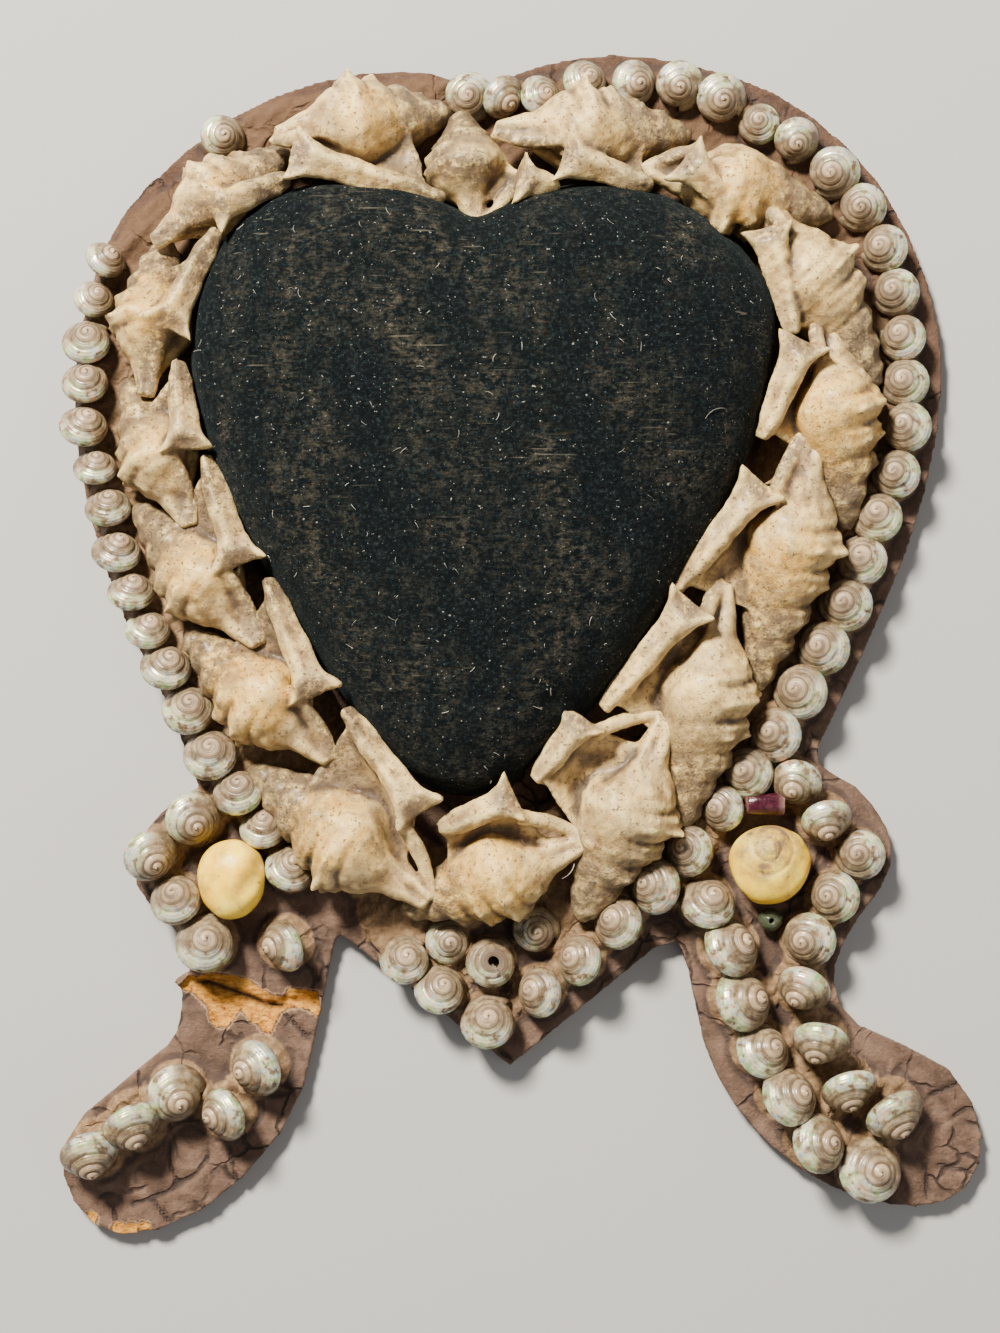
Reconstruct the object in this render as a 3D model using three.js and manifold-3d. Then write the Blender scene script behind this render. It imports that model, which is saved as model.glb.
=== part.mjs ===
// Shell pin cushion: a padded velvet heart on a leather-covered board, wreathed in pelican's-foot shells
// and edged with small pearly top shells. Millimetres, +Z up, the board's underside on z = 0.
import * as THREE from "three";
import { mergeVertices } from "three/addons/utils/BufferGeometryUtils.js";
import Module from "manifold-3d";

// Driving dimensions
const cushionWidth = 103;
const cushionLength = 107.6;
const cushionRise = 23;
const boardThickness = 3.5;
const tearDepth = 0.9;
const pelicanGirth = 16;
const pelicanRise = 7.2;
const knobHeight = 1.6;
const lipThickness = 3.2;
const lipWidth = 5;
const lipRise = 13.5;
const lipRest = 11;
const topShellDiameter = 9.2;
const topShellHeight = 7.8;
const glueDepth = 2;
const glueWidth = 4.5;
const periwinkleWidth = 14.5;
const periwinkleHeight = 10.5;
const redBeadLength = 7;
const redBeadDiameter = 4.2;
const redBeadLift = 1.6;
const greenBeadDiameter = 4.4;
const clearance = 0.3;

// Places are given in marks: the cushion is this many marks across and along, and the rest spreads with it
const marksAcross = 103;
const marksAlong = 107.6;

const wasm = await Module();
wasm.setup();

const boardTop = boardThickness;
const spreadX = cushionWidth / marksAcross;
const spreadY = cushionLength / marksAlong;

function place([x, y]) {
  return new THREE.Vector2(x * spreadX, y * spreadY);
}

function toSolid(geometry) {
  const bare = geometry.clone();
  bare.deleteAttribute("normal");
  bare.deleteAttribute("uv");
  const merged = mergeVertices(bare);
  return new wasm.Manifold(new wasm.Mesh({
    numProp: 3,
    vertProperties: new Float32Array(merged.attributes.position.array),
    triVerts: new Uint32Array(merged.index.array),
  }));
}

// The largest body that is left when a shell has been trimmed by its neighbours
function mainBody(solid) {
  return solid.decompose().reduce((kept, body) => (body.volume() > kept.volume() ? body : kept));
}

function toMesh(name, solid, finish) {
  const cut = solid.getMesh();
  const geometry = new THREE.BufferGeometry();
  geometry.setAttribute("position", new THREE.BufferAttribute(cut.vertProperties, 3));
  geometry.setIndex(new THREE.BufferAttribute(cut.triVerts, 1));
  geometry.computeVertexNormals();
  const mesh = new THREE.Mesh(geometry, new THREE.MeshStandardMaterial(finish));
  mesh.name = name;
  return mesh;
}

// A closed skin over a stack of rings, each a list of points, closed by a fan at the foot and at the tip
function skin(rings, tip) {
  const sides = rings[0].length;
  const middle = (ring) => ring.reduce((sum, p) => sum.add(p), new THREE.Vector3()).divideScalar(sides);
  const points = [...rings.flat(), middle(rings[0]), tip ?? middle(rings.at(-1))];
  const faces = [];
  const lastRing = (rings.length - 1) * sides;
  for (let j = 0; j < sides; j += 1) {
    const next = (j + 1) % sides;
    for (let i = 0; i < lastRing; i += sides) {
      faces.push(i + j, i + next, i + sides + next, i + j, i + sides + next, i + sides + j);
    }
    faces.push(points.length - 2, next, j, points.length - 1, lastRing + j, lastRing + next);
  }
  const geometry = new THREE.BufferGeometry().setFromPoints(points);
  geometry.setIndex(faces);
  const solid = toSolid(geometry);
  return solid.volume() > 0 ? solid : toSolid(flipped(geometry));
}

function flipped(geometry) {
  const turned = geometry.clone();
  const index = turned.index.array;
  for (let i = 0; i < index.length; i += 3) [index[i], index[i + 1]] = [index[i + 1], index[i]];
  return turned;
}

function slab(outline, low, high) {
  const shape = new THREE.Shape(outline);
  const geometry = new THREE.ExtrudeGeometry(shape, { depth: high - low, bevelEnabled: false });
  return toSolid(geometry.translate(0, 0, low));
}

const roomAbove = slab([[-1, -1], [1, -1], [1, 1], [-1, 1]].map(([x, y]) =>
  new THREE.Vector2(x * 2 * cushionWidth, y * 2 * cushionLength)), boardTop, boardTop + 4 * cushionRise);

// Backing board: a heart with a pointed foot and two legs that curl outwards
function boardOutline() {
  const shape = new THREE.Shape();
  const curves = (points) => shape.splineThru(points.map(place));
  shape.moveTo(...place([-1, 102.4]).toArray());
  curves([[8, 105.6], [22, 107.2], [39, 104], [54, 97.2], [68, 83.5], [77, 64], [78.8, 45], [74, 22],
    [64.5, -1], [57, -16.6]]);
  curves([[56.9, -20.7], [64.1, -25.2], [69.4, -33], [69, -41], [62, -51], [59.6, -59.4], [63.5, -67.3],
    [80.3, -75.6], [86.2, -88], [82.5, -97.5], [72, -100.3], [56, -95.3], [43.5, -84.5], [36.6, -72.5],
    [33.5, -58.5], [31.3, -52.6]]);
  shape.lineTo(...place([27.2, -53.6]).toArray());
  shape.lineTo(...place([1.1, -74.9]).toArray());
  shape.lineTo(...place([-28.6, -51.8]).toArray());
  curves([[-30.4, -52.2], [-33, -64.5], [-38.3, -84], [-52.9, -99.9], [-69, -105.4], [-78, -98.5],
    [-78.5, -87], [-65.5, -75.2], [-59.2, -69.3], [-58.1, -61.5]]);
  shape.lineTo(...place([-59.6, -59.6]).toArray());
  shape.lineTo(...place([-56.4, -57.6]).toArray());
  curves([[-59.5, -50], [-66, -43], [-65.8, -35], [-60.5, -28], [-55, -24.8]]);
  curves([[-61, -9], [-69.1, 7.2], [-76, 30], [-77.2, 51], [-72.6, 71], [-63.7, 84.1], [-47, 97],
    [-29.5, 103.3], [-15, 104.2], [-9, 102.6], [-1, 102.4]]);
  return shape.getPoints(2);
}

// Where the leather is torn across the left leg and the board's own fibres show
const tear = [[-59.6, -62], [-56.5, -58.2], [-49, -61.5], [-42, -63], [-33, -61.5], [-33.6, -64.5],
  [-41, -65.5], [-42.6, -69], [-46, -65.8], [-51.4, -67.6], [-53, -64.5], [-60, -64.6]];

function makeBoard() {
  const torn = slab(tear.map(place), boardTop - tearDepth, boardTop + 1);
  return mainBody(slab(boardOutline(), 0, boardTop).subtract(torn));
}

// Velvet cushion: a heart that swells from its foot and is crowned over the top
const cushionCentre = place([-3.4, 34]);

function cushionOutline(grow) {
  const shape = new THREE.Shape();
  shape.moveTo(...place([-5.1, 75]).toArray());
  shape.splineThru([[3, 79.6], [15.1, 81.9], [31, 78.6], [44.9, 66.6], [48.1, 54], [41.5, 31], [26.5, 4.3],
    [12, -13.6], [-0.7, -23.8], [-6.9, -25.4]].map(place));
  shape.splineThru([[-14, -23], [-25, -12.4], [-39.3, 10.5], [-51, 32], [-54.9, 52.6], [-50.5, 70.5],
    [-38, 80.6], [-22, 82], [-10, 78.3], [-5.1, 75]].map(place));
  const points = shape.getPoints(2).slice(0, -1);
  return points.map((p) => p.clone().add(p.clone().sub(cushionCentre).setLength(grow)));
}

function makeCushion(grow) {
  const levels = [[0, 0.95], [0.3, 1], [0.62, 0.95], [0.83, 0.8], [0.96, 0.5], [1, 0.2]];
  const outline = cushionOutline(grow);
  const rise = cushionRise - clearance + grow;
  return skin(levels.map(([level, share]) => outline.map((p) => {
    const flat = p.clone().sub(cushionCentre).multiplyScalar(share).add(cushionCentre);
    return new THREE.Vector3(flat.x, flat.y, boardTop + level * rise);
  }))).intersect(roomAbove);
}

// Pelican's-foot shells, in order round the cushion: tip of the canal, apex, broken finger, end of the lip
const wreath = [
  { tip: [-5.2, 75.3], apex: [-7.8, 95.8], finger: [4.5, 81.6], end: [9.1, 80.5], girth: 0.9 },
  { tip: [-40.4, 90.8], apex: [-9.3, 95.8], finger: [-35.3, 85.8], end: [-10.4, 78.6], girth: 1 },
  { tip: [-61.7, 71.8], apex: [-38.1, 89], finger: [-49.3, 77.3], end: [-37.3, 82.4], girth: 0.9 },
  { tip: [-63.4, 44.7], apex: [-60.4, 73.3], finger: [-58, 57.5], end: [-50.3, 73.5], girth: 0.9 },
  { tip: [-55.6, 21.7], apex: [-67.5, 48.4], finger: [-55.4, 36.6], end: [-57, 50.6], girth: 0.85 },
  { tip: [-43.4, 0.8], apex: [-65.7, 25.8], finger: [-46.5, 16.5], end: [-52.3, 34.2], girth: 0.9 },
  { tip: [-30.7, -19.6], apex: [-56.8, 3.5], finger: [-33.5, -6.2], end: [-41.5, 12.6], girth: 1 },
  { tip: [-13.3, -44.5], apex: [-44.9, -21], finger: [-15.6, -27.2], end: [-27.8, -10.3], girth: 1.1 },
  { tip: [14.1, -34.1], apex: [-18.5, -46.7], finger: [0.2, -26.3], end: [-11.3, -31.4], girth: 1 },
  { tip: [28.5, -12.3], apex: [13.5, -48.5], finger: [12.4, -13.2], end: [5.4, -22.9], girth: 1.1 },
  { tip: [39, 11.6], apex: [31.9, -31.7], finger: [31.6, 6.9], end: [17.2, -10.3], girth: 1.05 },
  { tip: [55, 40], apex: [45, -7.2], finger: [43.8, 27.8], end: [29.5, 10.1], girth: 1.05 },
  { tip: [56.4, 60], apex: [61.2, 21.3], finger: [51.3, 52.3], end: [45, 36.9], girth: 1 },
  { tip: [44, 80.5], apex: [66.9, 47.2], finger: [46.1, 71.8], end: [50.6, 55.3], girth: 1 },
  { tip: [25.4, 84.4], apex: [58.6, 77.4], finger: [32.5, 84.1], end: [43.6, 74.5], girth: 1 },
  { tip: [-1.6, 91.7], apex: [33.5, 91.7], finger: [11.9, 85.5], end: [26, 80.8], girth: 1 },
];
const wreathSides = 8;

// Half-girths along the shell from the apex to the canal's tip; the knobs stand on the stations marked 1
const whorls = [
  [0, 0.12, 0], [0.12, 0.36, 0], [0.17, 0.28, 0], [0.29, 0.6, 1], [0.34, 0.52, 0], [0.46, 0.94, 1],
  [0.58, 1, 1], [0.7, 0.76, 0], [0.82, 0.42, 0], [1, 0.16, 0],
];

function at([x, y], z) {
  const spot = place([x, y]);
  return new THREE.Vector3(spot.x, spot.y, boardTop + z);
}

function spindle(shell, grow) {
  const middle = [0.5 * (shell.tip[0] + shell.apex[0]), 0.5 * (shell.tip[1] + shell.apex[1])];
  const girth = 0.5 * pelicanGirth * shell.girth;
  const spine = new THREE.CatmullRomCurve3([at(shell.apex, 0.45 * pelicanRise),
    at(middle, 0.85 * pelicanRise), at(shell.tip, 1.25 * pelicanRise)]);
  return skin(whorls.map(([share, width, knobbed]) => {
    const centre = spine.getPoint(share);
    const along = spine.getTangent(share);
    const across = new THREE.Vector3(-along.y, along.x, 0).normalize();
    const up = new THREE.Vector3().crossVectors(along, across);
    return Array.from({ length: wreathSides }, (_, j) => {
      const angle = (j / wreathSides) * 2 * Math.PI;
      const radius = girth * width + grow + (j % 2) * knobbed * knobHeight * width;
      return centre.clone().addScaledVector(across, radius * Math.cos(angle))
        .addScaledVector(up, radius * Math.sin(angle));
    });
  }));
}

// The lip: a strap from the canal up over the broken finger and along the cushion, webbed to the shell
function lip(shell, grow) {
  const root = [0.75 * shell.tip[0] + 0.25 * shell.apex[0], 0.75 * shell.tip[1] + 0.25 * shell.apex[1]];
  const shoulder = [0.45 * shell.tip[0] + 0.55 * shell.apex[0], 0.45 * shell.tip[1] + 0.55 * shell.apex[1]];
  const strap = new THREE.CatmullRomCurve3([at(root, pelicanRise), at(shell.finger, lipRise),
    at(shell.end, lipRest)]);
  const foot = new THREE.LineCurve3(at(root, pelicanRise), at(shoulder, 0.9 * pelicanRise));
  const flare = [[0.2, 0.7], [0.46, 1.9], [0.56, 1.7], [0.68, 1], [1, 0.65]];
  const bar = skin(flare.map(([share, width]) => {
    const centre = strap.getPoint(share);
    const along = strap.getTangent(share);
    const across = new THREE.Vector3(-along.y, along.x, 0).normalize();
    const up = new THREE.Vector3().crossVectors(along, across);
    return [[1, 0.3], [-0.6, 1], [-1, -0.3], [0.6, -1]].map(([side, rise]) => centre.clone()
      .addScaledVector(across, (0.5 * lipWidth * width + grow) * side)
      .addScaledVector(up, (0.5 * lipThickness + grow) * rise));
  }));
  const web = skin([0.1, 0.4, 0.7].map((share) => {
    const inner = foot.getPoint(share);
    const outer = strap.getPoint(0.2 + 0.7 * share);
    const thick = new THREE.Vector3(0, 0, 0.35 * lipThickness + grow);
    return [inner.clone().sub(thick), outer.clone().sub(thick), outer.clone().add(thick),
      inner.clone().add(thick)];
  }));
  return bar.add(web);
}

function pelicansFoot(shell, grow) {
  return spindle(shell, grow).add(lip(shell, grow)).intersect(roomAbove);
}

// Top shells in their rows: where each one's middle stands, its share of the usual diameter, and how far
// its apex leans off its middle
const rows = {
  left_rim_upper: [[-71.1, 69.5, 0.82, 2.3, 1.8], [-73.3, 62.7, 0.77, 1.3, 1.4],
    [-74.5, 54.9, 0.97, 0.4, 2.2], [-74.7, 47.6, 0.93, 0.5, 2.3], [-74.9, 39.7, 0.93, 1.4, 2.7]],
  left_rim_middle: [[-72.9, 32.4, 0.85, 0.7, 2.9], [-70.6, 25.3, 0.89, 0.4, 2.9],
    [-69.2, 17.4, 0.93, 1.3, 3.1], [-66.5, 10.3, 0.89, 0.9, 3.1]],
  left_rim_lower: [[-63.5, 3.5, 0.89, 0.9, 2.7], [-60.3, -3.2, 0.97, 1.3, 2.7],
    [-56.3, -10.7, 1, 0.5, 2.2], [-52.4, -18.7, 1.04, 0, 2.3]],
  top_rim: [[-6.1, 98.6, 0.97, 0, -0.5], [-0.2, 98.4, 0.89, 2.2, -2.5], [6.6, 98.9, 0.85, 1.6, 0.5],
    [14.4, 101.6, 0.85, 1, 1], [23.3, 101.2, 0.89, 1.3, -0.5], [31.4, 100.7, 0.93, 0, -1.3],
    [38.9, 98.6, 0.97, 0.4, -1.1]],
  right_rim_upper: [[45.6, 94.1, 0.78, -0.5, 0], [52.2, 90.9, 0.89, 0.2, -1.8], [59, 85, 1, -1.3, -0.9],
    [64, 78.9, 0.93, -0.9, -0.9], [67.9, 71.6, 0.9, -1.8, 0]],
  right_rim_middle: [[70.1, 63.8, 0.9, -1.6, 0.2], [71.1, 55.6, 0.9, -1.8, 0.7],
    [71.5, 47.7, 0.93, -1.4, 0.4], [71.8, 39.7, 0.97, -2.2, 0.4], [69.9, 31.3, 0.97, -1.6, 0.2]],
  right_rim_lower: [[66.5, 23.5, 0.97, -0.9, 1.3], [63.8, 16, 1, -1.4, 1.3], [60.8, 8, 1.08, -1.8, 0.4],
    [56.9, 0.3, 1.04, -2, 0.5], [52.8, -7.5, 1.08, -2.2, 0.5], [48.3, -15.2, 1.04, -2.2, 0.7]],
  right_point: [[43.5, -22, 1, -1.8, 0.7], [38.9, -28.2, 0.93, -2.7, 0], [32.8, -35.7, 1.04, -2.3, 0.9],
    [26.9, -42.1, 1.08, -3.2, 1.1], [20.3, -48.7, 1.04, -2.7, 1.4], [13.5, -55.3, 1, -3.2, 1.3],
    [6.4, -61, 1, -3.1, 0.9], [-3, -66.3, 1.08, -0.4, 2.2]],
  left_point: [[-11.4, -60.6, 1, 0.9, 2.3], [-17.8, -55.3, 0.97, 0.5, 2], [-10.2, -52.1, 0.85, 0.4, 0.2],
    [-2.5, -55.8, 0.97, 0.3, 1.2], [5.9, -49.9, 0.89, 0.2, 0]],
  right_hip: [[52.2, -23.7, 0.97, -1.4, -2.2], [57.4, -30.3, 1, 0.2, -3.6],
    [63.5, -36.6, 0.97, -1.4, 0.2], [59, -44.1, 1, -2.3, 0.4], [54.5, -51.7, 1.04, -2.3, -0.4]],
  right_hip_inner: [[36.2, -45.1, 1.08, 0.7, 3], [40.3, -53, 1.15, 3.6, 2.2],
    [42.4, -62.4, 1.18, 3.8, 1.3]],
  right_leg: [[53.3, -60.1, 1.04, -2.5, -2.9], [56.3, -69.6, 1.1, -2, -4.9],
    [61.3, -78.1, 1.1, 0.7, -4.9], [69.3, -82.4, 1.18, 2.5, -5.6]],
  right_foot: [[46, -71.3, 1.08, 2.5, 1.8], [50.6, -79.4, 1.15, 3.2, 2], [55.8, -87.7, 1.15, 3.2, 1.3],
    [65.2, -92.7, 1.22, 1.1, 0.9]],
  left_hip: [[-47.4, -25.5, 0.97, 0, 2.9], [-55.4, -30, 1.1, 1.8, -1.6], [-62.8, -36.6, 1.1, 2.2, -2.3],
    [-58.5, -44.6, 1, -0.5, 2.2], [-53.3, -52.3, 1.15, 0.4, 2]],
  left_hip_inner: [[-43, -31.8, 0.89, 0.2, 2.9], [-38.2, -38.9, 0.97, 1.1, 2.3]],
  left_leg_lone: [[-39.2, -52.6, 1.04, -4.3, -0.7]],
  left_foot: [[-44, -74.5, 1.1, -3.6, -0.7], [-49.7, -82.6, 1.08, -3.8, -0.7],
    [-58.5, -79, 1.1, 1.8, -1.6], [-66.1, -84.4, 1.18, 2.2, -4.3], [-73.5, -89.5, 1.15, 1.1, -4.5]],
  top_left_lone: [[-50.3, 91.8, 0.85, 1.1, 0]],
};
const brokenShell = rows.left_point[3];
const topShellSides = 6;

function topShell(row, grow) {
  const [x, y, share, leanX, leanY] = row;
  const centre = at([x, y], 0);
  const lean = new THREE.Vector3(leanX * spreadX, leanY * spreadY, 0);
  const broken = row === brokenShell;
  const levels = [[0, 0.5], [0.2, 0.5], [0.68, 0.34]];
  const tipLevel = broken ? 0.25 : 1;
  const height = topShellHeight * share + grow;
  return skin(levels.map(([level, radius]) => Array.from({ length: topShellSides }, (_, j) => {
    const angle = (j / topShellSides) * 2 * Math.PI;
    const reach = radius * topShellDiameter * share + grow;
    return new THREE.Vector3(reach * Math.cos(angle), reach * Math.sin(angle), level * height)
      .add(centre).addScaledVector(lean, level * level);
  })), centre.clone().addScaledVector(lean, tipLevel * tipLevel).setZ(boardTop + tipLevel * height));
}

// The bead of glue that a row of shells is set in, as deep as the shells are at their widest
function glueBead(from, to) {
  const start = place(from.slice(0, 2));
  const finish = place(to.slice(0, 2));
  const run = finish.clone().sub(start);
  const side = run.rotateAround(new THREE.Vector2(), Math.PI / 2).setLength(glueWidth / 2);
  const corners = [start.clone().add(side), start.clone().sub(side), finish.clone().sub(side),
    finish.clone().add(side)];
  return slab(corners, boardTop, boardTop + glueDepth);
}

function shellRow(row, grow) {
  const shells = row.map((shell) => topShell(shell, grow));
  const beads = grow ? [] : row.slice(1).map((shell, i) => glueBead(row[i], shell));
  return wasm.Manifold.union([...shells, ...beads]).intersect(roomAbove);
}

// Smooth yellow periwinkles at the heads of the legs, and two beads beside the right one
const roundSides = 10;

function roundBody(spot, width, length, height, grow) {
  const centre = at(spot, 0);
  const levels = [[0, 0.62], [0.25, 0.94], [0.5, 1], [0.8, 0.7], [1, 0.2]];
  return skin(levels.map(([level, share]) => Array.from({ length: roundSides }, (_, j) => {
    const angle = (j / roundSides) * 2 * Math.PI;
    return new THREE.Vector3((0.5 * width * share + grow) * Math.cos(angle),
      (0.5 * length * share + grow) * Math.sin(angle), level * (height + grow)).add(centre);
  }))).intersect(roomAbove);
}

function redBead(grow) {
  const radius = 0.5 * redBeadDiameter + grow;
  const bar = new THREE.CylinderGeometry(radius, radius, redBeadLength + 2 * grow, 8);
  const centre = at([46.5, -27.5], 0.5 * redBeadDiameter + redBeadLift);
  return toSolid(bar.rotateZ(Math.PI / 2).translate(centre.x, centre.y, centre.z));
}

const makers = [
  ["heart_cushion", makeCushion, { color: 0x141c20, roughness: 0.95, metalness: 0 }],
  ...wreath.map((shell, i) => [`pelicans_foot_${String(i + 1).padStart(2, "0")}`,
    (grow) => pelicansFoot(shell, grow), { color: 0xcdbf9f, roughness: 0.55, metalness: 0 }]),
  ["yellow_periwinkle_left", (grow) => roundBody([-48.5, -40.9], 0.86 * periwinkleWidth, periwinkleWidth,
    periwinkleHeight, grow), { color: 0xe0bc68, roughness: 0.35, metalness: 0 }],
  ["yellow_periwinkle_right", (grow) => roundBody([47.2, -38.2], periwinkleWidth, 1.04 * periwinkleWidth,
    periwinkleHeight, grow), { color: 0xe0bc68, roughness: 0.35, metalness: 0 }],
  ["green_bead", (grow) => roundBody([47.7, -48.3], greenBeadDiameter, greenBeadDiameter,
    greenBeadDiameter, grow), { color: 0x55604a, roughness: 0.4, metalness: 0 }],
  ...Object.entries(rows).map(([name, row]) => [`top_shells_${name}`, (grow) => shellRow(row, grow),
    { color: 0xa9a491, roughness: 0.35, metalness: 0.1 }]),
  ["red_bead", redBead, { color: 0x5a1c34, roughness: 0.3, metalness: 0 }],
];

// Each piece is trimmed by those already set, less the clearance, as the shells were bedded in turn
const pinCushion = new THREE.Group();
pinCushion.add(toMesh("backing_board", makeBoard(), { color: 0x6e5549, roughness: 0.8, metalness: 0 }));
const settled = [];
for (const [name, make, finish] of makers) {
  const trimmed = settled.reduce((body, other) => body.subtract(other), make(0));
  pinCushion.add(toMesh(name, mainBody(trimmed), finish));
  settled.push(make(clearance));
}

export default pinCushion;
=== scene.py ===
import math
import bmesh
import bpy
import numpy as np
from mathutils import Matrix, Vector, kdtree


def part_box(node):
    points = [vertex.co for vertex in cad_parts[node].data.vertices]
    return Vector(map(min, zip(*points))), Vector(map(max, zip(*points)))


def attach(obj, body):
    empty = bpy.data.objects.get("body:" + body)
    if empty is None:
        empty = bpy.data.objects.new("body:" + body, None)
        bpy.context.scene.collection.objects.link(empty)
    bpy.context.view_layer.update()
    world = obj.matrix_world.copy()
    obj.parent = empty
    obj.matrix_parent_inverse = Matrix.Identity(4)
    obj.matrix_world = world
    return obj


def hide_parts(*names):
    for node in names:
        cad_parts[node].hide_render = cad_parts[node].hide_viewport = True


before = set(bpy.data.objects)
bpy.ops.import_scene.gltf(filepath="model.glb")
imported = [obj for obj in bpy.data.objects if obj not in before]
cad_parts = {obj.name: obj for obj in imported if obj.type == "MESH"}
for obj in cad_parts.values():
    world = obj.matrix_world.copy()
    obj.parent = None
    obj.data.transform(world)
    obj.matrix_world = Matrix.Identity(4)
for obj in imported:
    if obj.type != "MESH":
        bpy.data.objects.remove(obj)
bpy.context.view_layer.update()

# The stage: a plain pale table top, with the camera hung over the middle of the cushion as in the
# photograph. One broad soft light stands beyond the left lobe, a weaker one opposite, and the room fills
# the shadows.
MM = 0.001
EYE_HEIGHT = 0.420
EYE_X, EYE_Y = -0.00072, -0.00297
VIEW_WIDTH = 0.180
BOARD_LEVEL = 3.5
BOARD_TOP = BOARD_LEVEL / 1000
TABLE_COLOUR = (0.37, 0.365, 0.36, 1)

bpy.ops.mesh.primitive_plane_add(size=3.0, location=(0, 0, -0.0001))
table_top = bpy.context.object
table_top.name = "table_top"
table_finish = bpy.data.materials.new("pale_table")
table_finish.use_nodes = True
table_shader = table_finish.node_tree.nodes["Principled BSDF"]
table_shader.inputs["Base Color"].default_value = TABLE_COLOUR
table_shader.inputs["Roughness"].default_value = 0.9
table_top.data.materials.append(table_finish)

eye = bpy.data.cameras.new("overhead")
eye.sensor_fit = "HORIZONTAL"
eye.lens = eye.sensor_width * (EYE_HEIGHT - BOARD_TOP) / VIEW_WIDTH
eye_stand = bpy.data.objects.new("overhead", eye)
eye_stand.location = (EYE_X, EYE_Y, EYE_HEIGHT)
bpy.context.collection.objects.link(eye_stand)
bpy.context.scene.camera = eye_stand


def soft_light(name, place, aim, size, power, colour):
    lamp = bpy.data.lights.new(name, "AREA")
    lamp.shape = "SQUARE"
    lamp.size = size
    lamp.energy = power
    lamp.color = colour
    stand = bpy.data.objects.new(name, lamp)
    stand.location = place
    stand.rotation_euler = (Vector(aim) - Vector(place)).to_track_quat("-Z", "Y").to_euler()
    bpy.context.collection.objects.link(stand)


soft_light("window", (-0.38, 0.64, 0.78), (0, 0, 0), 0.20, 52.0, (1.0, 0.94, 0.82))
soft_light("fill", (0.50, -0.25, 0.50), (0, 0, 0), 0.60, 1.5, (1.0, 0.96, 0.90))
room = bpy.data.worlds.new("room")
room.use_nodes = True
room.node_tree.nodes["Background"].inputs["Color"].default_value = (0.98, 0.98, 1.0, 1)
room.node_tree.nodes["Background"].inputs["Strength"].default_value = 0.27
bpy.context.scene.world = room


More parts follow.
